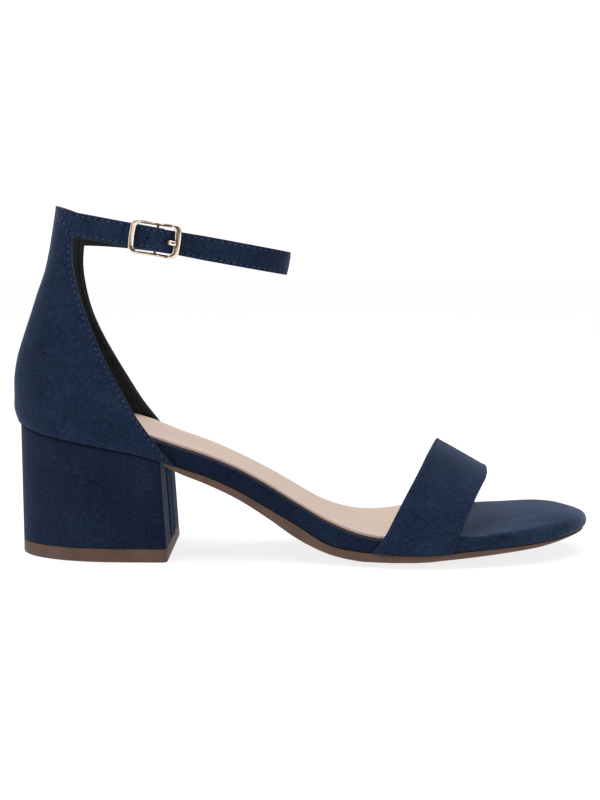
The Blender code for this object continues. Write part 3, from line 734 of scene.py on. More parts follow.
def add_bumps(tree, shader, layers):
    """Bump layers, each a source with its strength and depth in metres."""
    below = {}
    for source, strength, depth in layers:
        made = add_node(tree, "ShaderNodeBump", {"Strength": strength, "Distance": depth},
                        {"Height": source, **below})
        below = {"Normal": made.outputs["Normal"]}
    tree.links.new(below["Normal"], shader.inputs["Normal"])


def suede(name, dark, light, sheen, streak=None):
    """Microsuede: mottled nap with a soft sheen, and where it is streaked, lengthwise streaks that
    lighten and darken its colour over matching soft ridges.
    """
    material, tree, shader = new_material(name, {
        "Roughness": 0.92, "Specular IOR Level": 0.04, "Sheen Weight": sheen,
        "Sheen Roughness": 0.42, "Sheen Tint": (0.57, 0.71, 1.0, 1.0)})
    nap = noise(tree, 820.0, 4.0, 0.68, streak)
    fibre = noise(tree, 2600.0, 3.0, 0.6, streak)
    layers = [(nap, 0.40, 0.00030), (fibre, 0.50, 0.00014)]
    grain = ramp(tree, nap, [(0.34, (0.63, 0.64, 0.68)), (0.66, (1.40, 1.38, 1.32))])
    patches = ramp(tree, noise(tree, 24.0), [(0.36, (0.86,) * 3), (0.64, (1.15,) * 3)])
    colour = ramp(tree, noise(tree, 70.0, 3.0, 0.6), [(0.34, dark), (0.66, light)])
    colour = multiplied(tree, multiplied(tree, colour, grain, 0.9), patches)
    if streak:
        lengthwise_streaks = noise(tree, 190.0, 3.0, 0.55, (0.10, 1.0, 0.6))
        shade = ramp(tree, lengthwise_streaks, [(0.36, (0.80, 0.82, 0.85)), (0.64, (1.22, 1.19, 1.15))])
        colour = multiplied(tree, colour, shade)
        layers.append((lengthwise_streaks, 0.38, 0.0006))
    tree.links.new(colour, shader.inputs["Base Color"])
    add_bumps(tree, shader, layers)
    return material


def plain(name, dark, light, roughness, grain, depth, specular):
    """Colour with a slow variation and a fine grain of some depth."""
    material, tree, shader = new_material(name, {
        "Roughness": roughness, "Specular IOR Level": specular})
    colour = ramp(tree, noise(tree, grain * 0.08, 3.0), [(0.32, dark), (0.68, light)])
    tree.links.new(colour, shader.inputs["Base Color"])
    add_bumps(tree, shader, [(noise(tree, grain, 4.0, 0.6), 0.5, depth)])
    return material


def metal(name, colour, shade, roughness):
    """Polished plating whose colour turns to the shade's colour where close surfaces occlude it:
    painted shade and dark reflection in its narrow corners and next to the strap.
    """
    material, tree, shader = new_material(name, {"Metallic": 1.0})
    corner = add_node(tree, "ShaderNodeAmbientOcclusion", {"Distance": OCCLUSION_SHADE_REACH}, {})
    tree.links.new(ramp(tree, corner.outputs["AO"], [(0.66, shade), (0.97, colour)]),
                   shader.inputs["Base Color"])
    rough = add_node(tree, "ShaderNodeMapRange",
                     {"To Min": roughness * 0.7, "To Max": roughness * 1.4},
                     {"Value": noise(tree, 400.0, 3.0)})
    tree.links.new(rough.outputs["Result"], shader.inputs["Roughness"])
    add_bumps(tree, shader, [(noise(tree, 900.0), 0.03, 0.00005)])
    return material


SUEDE = suede("navy_suede", (0.0104, 0.0186, 0.0430), (0.0141, 0.0247, 0.0545), sheen=0.23)
# Painted shade: a darker copy of the navy suede for the heel and the footbed's side behind the vamp,
# where the lower parts get less light
PAINTED_SHADE_SUEDE = suede("navy_suede_painted_shade", (0.0076, 0.0138, 0.0325), (0.0105, 0.0186, 0.0412),
                   sheen=0.17)
TOE_SUEDE = suede("navy_suede_toe", (0.0098, 0.0178, 0.0415), (0.0138, 0.0240, 0.0530),
                  sheen=0.47, streak=(0.30, 1.0, 1.0))
# Lighter suede of the cut edges, which also paints a highlight along each strap's start on the
# counter
CUT_EDGE_AND_HIGHLIGHT_SUEDE = suede("cut_edge_and_painted_highlight_suede", (0.0200, 0.0205, 0.0350), (0.0285, 0.0290, 0.0480),
                   sheen=0.22)
LINING = plain("black_lining", (0.0120, 0.0150, 0.0176), (0.0205, 0.0250, 0.0290),
               roughness=0.72, grain=1500.0, depth=0.00008, specular=0.22)
INSOLE = plain("beige_insole", (0.668, 0.520, 0.436), (0.694, 0.542, 0.458),
               roughness=0.46, grain=1800.0, depth=0.00003, specular=0.32)
# Painted shade: a darker beige for the insole's lowest side, where its rim lies in shadow
INSOLE_RIM_SHADE = plain("insole_rim_painted_shade", (0.455, 0.352, 0.312), (0.490, 0.380, 0.335),
                   roughness=0.55, grain=1800.0, depth=0.00003, specular=0.30)
WRAP_EDGE = plain("wrap_edge", (0.034, 0.028, 0.038), (0.047, 0.038, 0.050),
                  roughness=0.85, grain=1800.0, depth=0.00005, specular=0.15)
RUBBER = plain("brown_rubber", (0.098, 0.056, 0.041), (0.132, 0.076, 0.057),
               roughness=0.62, grain=1200.0, depth=0.00006, specular=0.30)
THREAD = plain("navy_thread", (0.034, 0.048, 0.084), (0.053, 0.070, 0.113),
               roughness=0.7, grain=4000.0, depth=0.00005, specular=0.3)
# Painted shade: near-black beads stand for the dark needle holes
NEEDLE_HOLE_SHADE = plain("needle_hole_painted_shade", (0.0025, 0.0035, 0.0075), (0.0040, 0.0055, 0.0105),
            roughness=0.9, grain=2000.0, depth=0.00002, specular=0.08)
# Painted shade: the dark brown shade colour goes where the buckle lies close to the strap and in its
# own corners
GOLD = metal("pale_gold", (0.86, 0.70, 0.55), shade=(0.16, 0.095, 0.065), roughness=0.14)


# Sole

SOLE_STATIONS = 260
FOOTBED_STATIONS = 300
# The footbed's levels between its side and the insole, and where its suede changes under
# the vamp from the toe's suede to the darker copy with painted shade behind it
WRAP_EDGE_LEVELS = range(5, 10)
WRAP_CHANGE = 0.006


def make_outsole():
    def under(x):
        return TOE_TIP_INSET * toe_share(x) ** 3

    def rolled(inset, lift):
        return lambda x: (inset + under(x),
                          outsole_bottom(x) + lift * profile("roll", x) * EDGE_ROLL)

    def upper(inset, lift):
        return lambda x: (inset + under(x), outsole_top(x) + lift)

    lip = -OUTSOLE_LIP
    levels = [rolled(ROLL_WIDTH * share, lift) for share, lift in (
        (1.3, 0.0), (1.0, 0.0), (0.72, 0.25), (0.47, 0.55), (0.28, 0.75), (0.13, 0.88),
        (0.03, 0.96))]
    levels += [rolled(lip * 0.6, 1.03), rolled(lip, 1.15)]
    levels += [upper(inset, lift) for inset, lift in (
        (lip, -0.00020), (lip + 0.00012, 0.00002), (lip + 0.00040, 0.00010), (0.0012, 0.00010))]
    places = stations(HEEL_BREAST_TOP + 2 * GAP, LENGTH, SOLE_STATIONS)
    loft("outsole_rubber", slab(places, levels), [RUBBER], "outsole")


def make_footbed():
    def crown(x):
        return CROWN("lift", x / LENGTH)

    def top(x):
        return footbed_top(x) + CROWN("settle", x / LENGTH)

    def low(turn):
        angle = math.radians(turn)
        return lambda x: (lower_radius(x) * (1 - math.sin(angle)),
                          footbed_bottom(x) + lower_radius(x) * (1 - math.cos(angle)))

    def high(turn):
        angle = math.radians(turn)
        return lambda x: (edge_radius(x) * (1 - math.cos(angle)),
                          top(x) - edge_radius(x) * (1 - math.sin(angle)))

    def over(inset, share):
        return lambda x: (edge_radius(x) + inset, top(x) + crown(x) * share)

    levels = [low(turn) for turn in (0, 30, 60, 90)]
    levels += [high(turn) for turn in (0, 15, 30, 45, 60, 75, 90)]
    levels += [over(0.0012, 0.3), over(0.0030, 0.6), over(0.0060, 0.85), over(0.0100, 1.0)]
    rings = slab(stations(0, LENGTH, FOOTBED_STATIONS), levels, 4)
    body = loft("footbed_wrap", rings, [TOE_SUEDE, PAINTED_SHADE_SUEDE, WRAP_EDGE], "footbed")
    for polygon in body.data.polygons:
        # Behind the vamp the footbed's side takes the suede copy with painted shade
        behind = polygon.center.x - ROOT[0] < vamp_cut(0, 0.0, 0.0, 0.0) + WRAP_CHANGE
        on_edge = polygon.index // len(rings[0]) in WRAP_EDGE_LEVELS
        polygon.material_index = (2 if on_edge else 1) if behind else 0


def vamp_cut(number, y, z, climb):
    place, lean, skew, belly = VAMP_CUTS[number]
    return (place + belly * climb) * LENGTH + lean * z + skew * y


def make_insole():
    def level(inset, lift, dish):
        return lambda x: (INSOLE_INSET + inset, footbed_top(x) + lift
                          - dish * (1 - ease((x - HEEL_ARC_END) / (0.1 * LENGTH))))

    levels = [level(*row) for row in (
        (0.00000, 0.00010, 0.0),
        (0.00000, 0.00090, 0.0),
        (0.00008, 0.00112, 0.0),
        (0.00028, 0.00128, 0.0),
        (0.00060, 0.00132, 0.0),
        (0.00095, 0.00124, 0.0),
        (0.00125, 0.00108, 0.0),
        (0.00170, 0.00103, 0.0),
        (0.00300, 0.00104, 0.0001),
        (0.00600, 0.00106, 0.0003),
        (0.01000, 0.00108, 0.0005),
        (0.01300, 0.00108, 0.0006),
    )]
    end = vamp_cut(0, 0.0, VAMP_REAR_RISE, 0.0)
    rings = slab(stations(0, end, SOLE_STATIONS), levels, 0)
    body = loft("insole_sock", rings, [INSOLE, INSOLE_RIM_SHADE], "insole")
    # The two lowest bands of the insole's side take the darker beige of painted shade
    for polygon in body.data.polygons[:2 * len(rings[0])]:
        polygon.material_index = 1


# Heel

# Folds down the heel's breast: how far each stands out, its distance from the middle seam
# and its width
BREAST_FOLDS = [(0.0007, 0.0, 0.0050), (-0.0005, 0.0, 0.0006), (-0.0013, 0.0080, 0.0010)]


def heel_loop(inset, height, folded):
    """One ring of the heel: both halves run from the back round a corner to the breast's
    middle."""
    turns = np.linspace(0.012, math.pi / 2, 70)
    x = HEEL_ARC_END - (HEEL_ARC_END - SEAT_BACK) * np.cos(turns)
    x = np.concatenate((x, np.linspace(HEEL_ARC_END, HEEL_BREAST_TOP - HEEL_CORNER, 22)[1:]))
    overhang = mix(HEEL_BACK_OVERHANG, HEEL_SIDE_OVERHANG, np.minimum(x / HEEL_ARC_END, 1.0))
    turns = np.linspace(0, math.pi / 2, 7)[1:]
    rings = []
    for side in (OUTER, INNER):
        along, across = plan(x, side, overhang - inset)
        half = abs(across[-1]) - HEEL_CORNER
        place = np.linspace(half, 0.00003, 64)[1:]
        fold = sum(out * bump(place, middle, width) for out, middle, width in BREAST_FOLDS)
        along = np.concatenate((
            along, HEEL_BREAST_TOP - HEEL_CORNER + (HEEL_CORNER - inset) * np.sin(turns),
            HEEL_BREAST_TOP - inset + folded * fold))
        across = np.concatenate((across, side * (half + HEEL_CORNER * np.cos(turns)),
                                 side * place))
        z = np.broadcast_to(height(np.minimum(along, HEEL_BREAST_TOP)), along.shape)
        down = 1 - z / outsole_top(HEEL_BREAST_TOP)
        lean = HEEL_BREAST_LEAN * down * along / HEEL_BREAST_TOP
        rings.append(np.stack((along + lean, across, z), axis=1))
    return np.concatenate((rings[0], rings[1][::-1]))


def make_heel():
    foot = TOP_PIECE_THICKNESS + HEEL_GAP

    def between(share, lift):
        """Height at a share of the way from the top piece up to the outsole, and a lift."""
        return lambda x: mix(foot, outsole_top(x) + HEEL_GAP, share) + lift

    rows = [(0.0012, 0, 0), (0.0004, 0, 0), (0.00012, 0, 0.00012), (0, 0, 0.0004)]
    rows += [(0, share, 0) for share in np.linspace(0.03, 0.97, 24)]
    rows += [(0, 1, -0.0009), (0.0003, 1, -0.0004), (0.0009, 1, -0.0001), (0.0018, 1, 0)]
    rings = [heel_loop(inset, between(share, lift), 1) for inset, share, lift in rows]
    # The heel's cover takes the suede copy with painted shade
    loft("heel_cover", np.array(rings), [PAINTED_SHADE_SUEDE], "heel_block")
    tall = TOP_PIECE_THICKNESS
    rows = [(0.0020, 0), (0.0005, 0), (0.00015, 0.00012), (0, 0.0005), (0, 0.0030),
            (0, tall - 0.0003), (0.00010, tall - 0.00008), (0.0004, tall), (0.0014, tall)]
    rings = [heel_loop(inset, lambda x, z=z: z, 0) for inset, z in rows]
    loft("heel_tip", np.array(rings), [RUBBER], "heel_top_piece")


# Counter

# Its columns lie closer from this share of the way to the front on, its rows along its rims
FINE_FROM = 0.92
COUNTER_RIM = 0.03


def counter_front(name, side, height):
    ahead = COUNTER("inner", height) if side == INNER else 0.0
    return (COUNTER(name, height) + ahead) * LENGTH


def counter_along(side, share, height):
    return mix(COUNTER("back", height) * LENGTH, counter_front("front", side, height), share)


def counter_row(turns, height):
    """Points of the counter's outer face at one height, from the outer side's front edge
    round the back to the inner side's."""
    points = []
    for side, part in ((OUTER, turns[turns < 0]), (INNER, turns[turns >= 0])):
        share = 1 - np.cos(np.abs(part) * math.pi / 2)
        place = mix(SEAT_BACK, counter_front("reach", side, height), share)
        half = np.abs(plan(place, side, COUNTER_WALL + GAP)[1])
        low = footbed_bottom(counter_along(side, share, 0))
        high = COUNTER_TOP_HEIGHT - COUNTER_TOP_FALL * share
        points.append(np.stack((counter_along(side, share, height),
                                side * half * COUNTER("width", height),
                                mix(low, high, height)), axis=1))
    return np.concatenate(points)


def make_counter():
    half = np.concatenate((np.linspace(0, FINE_FROM, 70), np.linspace(FINE_FROM, 1, 26)[1:]))
    turns = np.concatenate((-half[::-1], half[1:]))
    heights = np.concatenate((np.linspace(0, COUNTER_RIM, 6),
                              np.linspace(COUNTER_RIM, 1 - COUNTER_RIM, 96)[1:],
                              np.linspace(1 - COUNTER_RIM, 1, 7)[1:]))
    face = np.array([counter_row(turns, height) for height in heights])
    normals = -grid_normals(face)
    run = path_lengths(face)
    to_front = np.minimum(run, run[:, -1:] - run)
    drop = COUNTER_TOP_HEIGHT - face[:, :, 2]
    lift = (COUNTER_FRONT_LIFT * ease(1 - to_front / COUNTER_FOLD)
            - TROUGH_DEPTH * bump(to_front, COUNTER_STITCH_INSET, COUNTER_TROUGH)
            + COUNTER_TOP_LIFT * ease(1 - drop / COUNTER_FOLD))
    face = face + normals * lift[:, :, None]
    wall("counter_suede", face, face - normals * COUNTER_SUEDE_WALL, COUNTER_ROUND,
         [SUEDE, CUT_EDGE_AND_HIGHLIGHT_SUEDE], UPPER)
    trim = (slice(1, -2), slice(1, -1))
    wall("counter_lining", (face - normals * (COUNTER_SUEDE_WALL + SKIN_GAP))[trim],
         (face - normals * COUNTER_WALL)[trim], LINING_ROUND, [LINING], UPPER)
    strap_foot = STRAP_REAR_HEIGHT - STRAP_WIDTH / 2 - STITCHES_BELOW_STRAP
    lines = []
    for order in (slice(None), slice(None, None, -1)):
        distances = np.abs(run - run[:, order][:, :1])[:, order]
        points, outs = np.array([
            [[np.interp(COUNTER_STITCH_INSET, distance, row[order][:, k]) for k in range(3)]
             for distance, row in zip(distances, grid)] for grid in (face, normals)])
        keep = points[:, 2] < strap_foot
        keep[0] = False
        lines.append((points[keep], outs[keep]))
    stitch_row("counter_edge", lines)


# Ankle strap

def strap_height(along):
    return STRAP_REAR_HEIGHT - math.tan(STRAP_TILT) * (along - STRAP_REAR_ALONG)


def counter_spot(turn, height):
    return counter_row(np.array([turn]), height)[0]


def loop_line(side):
    """The ankle loop's middle line on one side, seen from above, from counter to front."""
    lift = STRAP_THICKNESS / 2 - STRAP_BITE
    points = []
    for turn in STRAP_ON_COUNTER:
        spot = counter_spot(side * turn, STRAP_SEAT_SHARE)
        ahead = counter_spot(side * (turn + 0.01), STRAP_SEAT_SHARE)
        run = Vector((ahead - spot)[:2]).normalized()
        points.append((spot[0] - run.y * side * lift, spot[1] + run.x * side * lift))
    start = float(COUNTER("front", STRAP_SEAT_SHARE)) * LENGTH
    for along, half in LOOP:
        points.append((mix(start, LOOP_FRONT, along), side * half * LOOP_HALF_WIDTH))
    return points


COUNTER_BACK_TOP = float(COUNTER("back", 1.0)) * LENGTH


def strap_points(x, y, share, width):
    """Points of a strap from their places seen from above and shares up the strap's width."""
    up = share * width
    to_end = (STRAP_REAR_ALONG - x) / (STRAP_REAR_ALONG - COUNTER_BACK_TOP)
    rise = STRAP_END_RISE * np.maximum(0.0, to_end) * (0.5 + share)
    near_end = (HEEL_ARC_END - x) / (HEEL_ARC_END - STRAP_REAR_ALONG)
    lean = math.sin(STRAP_TILT) + STRAP_END_LEAN * np.clip(near_end, 0.0, 1.0)
    to_front = np.clip((LOOP_FRONT - x) / (LOOP_FRONT - STRAP_REAR_ALONG), 0.0, 1.0)
    drop = np.where(y > 0, INNER_STRAP_DROP * to_front ** INNER_DROP_POWER, 0.0)
    z = strap_height(x) + math.cos(STRAP_TILT) * up + rise - drop
    return np.stack((x + lean * up, y, z), axis=-1)


def strap_section():
    """Rounded cross section: each point's share up the width and share from the outer to the
    inner face, the number of points on the outer face, and where the lining lies."""
    flat = 0.5 - STRAP_EDGE_UP
    face = np.linspace(-flat, flat, 34)
    back = np.linspace(flat, -flat, 10)[1:]
    up = list(face)
    through = [0.0] * len(face)

    def turned(turns, upward, inner):
        for turn in turns:
            angle = math.radians(turn)
            sunk = STRAP_EDGE_IN * (1 - math.cos(angle))
            up.append(upward * (flat + STRAP_EDGE_UP * math.sin(angle)))
            through.append(1 - sunk if inner else sunk)

    turned(STRAP_EDGE_TURNS, 1, False)
    turned((*STRAP_EDGE_TURNS[::-1], 0), 1, True)
    lining = range(len(up) - 1, len(up) + len(back))
    up.extend(back)
    through.extend([1.0] * len(back))
    turned(STRAP_EDGE_TURNS, -1, True)
    turned(STRAP_EDGE_TURNS[::-1], -1, False)
    return np.array(up), np.array(through), len(face), lining


def ribbon(name, pairs, widths):
    """Strap with rounded edges and a soft trough under each row of stitches."""
    pairs = np.array(pairs)
    widths = np.array(widths)
    count = len(pairs)
    index = np.arange(count)
    low = np.minimum(index + np.maximum(0.0, STRAP_END_SLANT / STRAP_STEP - index / 2), count - 1)
    first = low.astype(int)
    second = np.minimum(first + 1, count - 1)
    share = (low - first)[:, None, None]
    lows = pairs[first] * (1 - share) + pairs[second] * share
    up, through, face_count, lining = strap_section()
    verts = []
    for k in range(len(up)):
        high = up[k] + 0.5
        place = lows * (1 - high) + pairs * high
        spot = place[:, 0] * (1 - through[k]) + place[:, 1] * through[k]
        if k < face_count:
            wide = unit(place[:, 0] - place[:, 1])
            from_edge = (0.5 - abs(up[k])) * widths
            push = (STRAP_CROWN * (1 - (2 * up[k]) ** 4)
                    - TROUGH_DEPTH * bump(from_edge, STRAP_STITCH_INSET, STRAP_TROUGH))
            spot = spot + wide * push[:, None]
        verts.append(strap_points(spot[:, 0], spot[:, 1], up[k], widths))
    verts = np.stack(verts, axis=1)
    sides = len(up)
    body = piece(name, verts, capped_tube(count, sides), [SUEDE, LINING, CUT_EDGE_AND_HIGHLIGHT_SUEDE], UPPER)
    edges = (*range(face_count + STRAP_EDGE_STEPS, lining.start),
             *range(lining.stop, sides - STRAP_EDGE_STEPS))
    for polygon in body.data.polygons[:(count - 1) * sides]:
        k = polygon.index % sides
        # The first row of the outer face at the strap's start takes the lighter edge suede as a
        # painted highlight
        first = polygon.index < sides and k < face_count
        polygon.material_index = 1 if k in lining else 2 if k in edges or first else 0
    outs = np.pad(unit(pairs[:, 0] - pairs[:, 1]), ((0, 0), (0, 1)))
    lines = []
    for target in (-1, 1):
        wanted = target * (0.5 - STRAP_STITCH_INSET / widths)
        points = [[np.interp(at, up[:face_count], row[:face_count, k]) for k in range(3)]
                  for at, row in zip(wanted, verts)]
        lines.append((np.array(points), outs))
    return body, lines, verts


def line_normals(points):
    runs = unit(np.gradient(points, axis=0))
    return np.stack((runs[:, 1], -runs[:, 0]), axis=1)


def buckle_matrix():
    line = even_points(loop_line(OUTER), STRAP_STEP)
    middle = int(np.argmin(np.abs(line[:, 0] - BUCKLE_ALONG)))
    run = Vector(line[middle + 4] - line[middle - 4]).normalized()
    level = math.cos(BUCKLE_TILT)
    along = Vector((run.x * level, run.y * level, -math.sin(BUCKLE_TILT)))
    out = Vector((run.y, -run.x, 0.0))
    axes = Matrix((along, out, out.cross(along))).transposed().to_4x4()
    x, y = line[middle]
    return Matrix.Translation((x, y, strap_height(x))) @ axes


PLACE = buckle_matrix()


def on_buckle(along, out, up=0.0):
    return np.array(PLACE @ Vector((along, out, up)))


def tail_out(ahead):
    return TAIL_RIDE * TAIL("out", ahead / BUCKLE_LENGTH)


def cut(body, verts, faces):
    """Cut a closed shape out of a piece."""
    tool = add_object("cut", new_mesh("cut", verts, faces))
    modifier = body.modifiers.new("cut", "BOOLEAN")
    modifier.operation = "DIFFERENCE"
    modifier.solver = "EXACT"
    modifier.object = tool
    graph = bpy.context.evaluated_depsgraph_get()
    made = bpy.data.meshes.new_from_object(body.evaluated_get(graph))
    body.modifiers.clear()
    body.data = made
    bpy.data.objects.remove(tool)


def squared(turn, power):
    """Point of the unit circle, squared off by a power below 1."""
    c = math.cos(turn)
    s = math.sin(turn)
    return math.copysign(abs(c) ** power, c), math.copysign(abs(s) ** power, s)


def tube(points, radius, sides=16, deep=1.0, high=1.0, power=1.0):
    """Vertices and faces of a tube along points, round unless a depth, height or power flattens
    it."""
    points = np.asarray(points, float)
    radius = np.broadcast_to(radius, len(points))
    runs = unit(np.gradient(points, axis=0))
    upward = np.array(PLACE.to_3x3().col[2])
    if abs(np.mean(runs @ upward)) > 0.9:
        upward = np.array(PLACE.to_3x3().col[0])
    verts = []
    for point, run, size in zip(points, runs, radius):
        side = unit(np.cross(run, upward))
        other = np.cross(side, run)
        for turn in around(sides):
            c, s = squared(turn, power)
            verts.append(point + size * (c * deep * side + s * high * other))
    return np.array(verts), capped_tube(len(points), sides)


def prong_crossing():
    centre = Vector((PRONG_CROSS_ALONG, float(tail_out(PRONG_CROSS_ALONG))))
    return centre, Vector((math.cos(PRONG_SLOPE), math.sin(PRONG_SLOPE)))


def make_short_strap():
    half = STRAP_THICKNESS / 2
    line = even_points(loop_line(OUTER), STRAP_STEP)
    pairs = []
    for (x, y), normal in zip(line, line_normals(line)):
        ahead = x - BUCKLE_ALONG
        if ahead > -STRAP_STEP / 2:
            break
        flare = max(0.0, 1 + ahead / SHORT_STRAP_FLARE)
        doubled = STRAP_THICKNESS * DOUBLED_SHARE * float(ease((ahead + SHORT_STRAP_DOUBLED) / 0.001))
        out = mix(half, FOLD_HALF, flare ** 2)
        back = out + doubled * (1 - flare)
        pairs.append(((x + normal[0] * out, y + normal[1] * out),
                      (x - normal[0] * back, y - normal[1] * back)))
    for turn in np.linspace(0, 86, 12):
        reach = FOLD_HALF * math.sin(math.radians(turn))
        rise = FOLD_HALF * math.cos(math.radians(turn))
        pairs.append(tuple(tuple(on_buckle(reach, out)[:2]) for out in (rise, -rise)))
    body, lines, verts = ribbon("strap_short", pairs, [STRAP_WIDTH] * len(pairs))
    reach = STRAP_WIDTH
    bar = [on_buckle(0.0, 0.0, -reach), on_buckle(0.0, 0.0, reach)]
    cut(body, *tube(bar, CENTRE_BAR / 2 + GAP))
    wide = PRONG_WIRE / 2 + GAP
    deep = FOLD_HALF * 1.3
    corners = [on_buckle(x, y, z) for z in (-wide, wide)
               for x, y in ((-deep, -deep), (deep, -deep), (deep, deep), (-deep, deep))]
    cut(body, corners, [(0, 1, 2, 3), (4, 5, 6, 7), (0, 1, 5, 4), (1, 2, 6, 5), (2, 3, 7, 6),
                        (3, 0, 4, 7)])
    return lines, verts


def make_long_strap():
    half = STRAP_THICKNESS / 2
    line = even_points(loop_line(INNER) + loop_line(OUTER)[-2::-1], STRAP_STEP)
    front = int(np.argmax(line[:, 0]))
    pairs = []
    widths = []
    for number, ((x, y), normal) in enumerate(zip(line, line_normals(line))):
        ahead = x - BUCKLE_ALONG
        if number > front and ahead < -TAIL_LENGTH:
            break
        out = float(tail_out(ahead)) if number > front else 0.0
        pairs.append(tuple((x - normal[0] * shift, y - normal[1] * shift)
                           for shift in (out + half, out - half)))
        taper = float(np.clip(1 - ahead / BUCKLE_LENGTH, 0.0, 1.0)) if number > front else 0.0
        widths.append(mix(LONG_STRAP_WIDTH, TAIL_END_WIDTH, taper))
    body, lines, verts = ribbon("strap_long", pairs, widths)
    reach = TAIL_RIDE
    for number in HOLE_NUMBERS:
        along = PRONG_HOLE_ALONG + number * HOLE_PITCH
        out = float(tail_out(along))
        hole = [on_buckle(along, out - reach), on_buckle(along, out + reach)]
        cut(body, *tube(hole, HOLE_DIAMETER / 2))
    centre, direction = prong_crossing()
    drop = -PRONG_DROP * centre.x
    hole = [on_buckle(centre.x - direction.x * reach, centre.y - direction.y * reach, drop),
            on_buckle(centre.x + direction.x * reach, centre.y + direction.y * reach, drop)]
    cut(body, *tube(hole, PRONG_WIRE / 2 + GAP / 2))
    return lines, verts, front


def make_straps():
    short_lines, short_verts = make_short_strap()
    long_lines, long_verts, front = make_long_strap()
    lines = []
    for points, outs in short_lines:
        keep = points[:, 0] < BUCKLE_ALONG - SHORT_STITCHES_END
        lines.append((points[keep], outs[keep]))
    for points, outs in long_lines:
        number = np.arange(len(points))
        ahead = points[:, 0] - BUCKLE_ALONG
        keep = (number < front) | (ahead > -TAIL_LENGTH + TAIL_STITCHES_END)
        lines.append((points[keep], outs[keep]))
    for verts, side in ((short_verts, OUTER), (long_verts, INNER)):
        face_rows = strap_section()[2]
        places = np.linspace(*SEAM_STEPS, face_rows)[3:face_rows - 3]
        ranks = np.arange(3, face_rows - 3)
        first = places.astype(int)
        share = (places - first)[:, None]
        row = verts[first, ranks] * (1 - share) + verts[first + 1, ranks] * share
        inner = verts[first + 5, ranks]
        out = np.cross(row[-1] - row[0], inner[0] - row[0])
        out = unit(out) * (1 if out[1] * side > 0 else -1)
        lines.append((row, np.repeat(out[None], len(row), axis=0)))
    stitch_row("strap", lines)


# Vamp band

# Shares of its girth and of its length that lie on its rims
VAMP_FOOT_RIM = 0.018
VAMP_EDGE_RIM = 0.032


def vamp_points(turns, runs):
    """Points of the vamp band's outer face, a row for each turn and a column for each run."""
    turn, run = np.meshgrid(turns, runs, indexing="ij")
    angle = math.pi * turn
    power = 2 / VAMP_ROUNDNESS
    climb = np.abs(np.sin(angle)) ** power
    climb[(turn <= 0) | (turn >= 1)] = 0.0
    rise = mix(VAMP_REAR_RISE, VAMP_FRONT_RISE, run)
    rise = rise - mix(CREST_LOWER["rear"], CREST_LOWER["front"], run)
    rear_bow = VAMP_REAR_BOW("ahead", climb)
    front_bow = VAMP_FRONT_BOW("ahead", turn)
    x = np.full(turn.shape, vamp_cut(0, 0.0, 0.0, 0.0))
    for _ in range(14):
        edge = np.where(turn <= 0.5, *(plan(x, side, VAMP_CLEARANCE + VAMP_WALL)[1]
                                       for side in (OUTER, INNER)))
        y = edge * np.abs(np.cos(angle)) ** power + VAMP_CREST_SHIFT * climb
        foot = footbed_bottom(x) + GAP
        z = mix(foot, footbed_top(x) + rise, climb)
        x = mix(vamp_cut(0, y, z, climb) + rear_bow, vamp_cut(1, y, z, climb) + front_bow, run)
    return np.stack((x, y, z), axis=-1)


def make_vamp():
    turns = np.linspace(VAMP_FOOT_RIM, 1 - VAMP_FOOT_RIM, 150)
    turns = np.concatenate(([0.0], 0.5 - 0.5 * np.cos(math.pi * turns), [1.0]))
    runs = np.linspace(VAMP_EDGE_RIM, 1 - VAMP_EDGE_RIM, 52)
    runs = np.concatenate(([0.0], runs, [1.0]))
    face = vamp_points(turns, runs)
    normals = grid_normals(face)
    if normals[75, 20, 2] < 0:
        normals = -normals
    along = path_lengths(face)
    to_edge = np.minimum(along, along[:, -1:] - along)
    lift = (VAMP_FOLD_LIFT * ease(1 - to_edge / VAMP_FOLD)
            - VAMP_GROOVE * bump(to_edge, VAMP_GROOVE_INSET, VAMP_GROOVE_WIDTH))
    face = face + normals * lift[:, :, None]
    wall("vamp_suede", face, face - normals * VAMP_SUEDE_WALL, VAMP_ROUND, [SUEDE],
         "vamp_band", inner_edge=VAMP_INNER_ROUND, ends=0.2)
    trim = (slice(None), slice(2, -2))
    wall("vamp_lining", (face - normals * (VAMP_SUEDE_WALL + SKIN_GAP))[trim],
         (face - normals * VAMP_WALL)[trim], LINING_ROUND, [LINING], "vamp_band")


# Buckle

BAR_SIDES = 24
BAR_SQUARENESS = 0.62
RAIL_WIDE = BUCKLE_WIRE * 0.74
FRONT_BAR_WIDE = BUCKLE_BAR * 1.22
REAR_BAR_WIDE = BUCKLE_BAR * 1.08
FRAME_DEEP = BUCKLE_WIRE * 0.95


def bar_section(wide, deep):
    """Crowned bar section: across the bar and outward."""
    corners = (squared(turn, BAR_SQUARENESS) for turn in around(BAR_SIDES))
    return [(c * wide / 2, s * deep / 2) for c, s in corners]


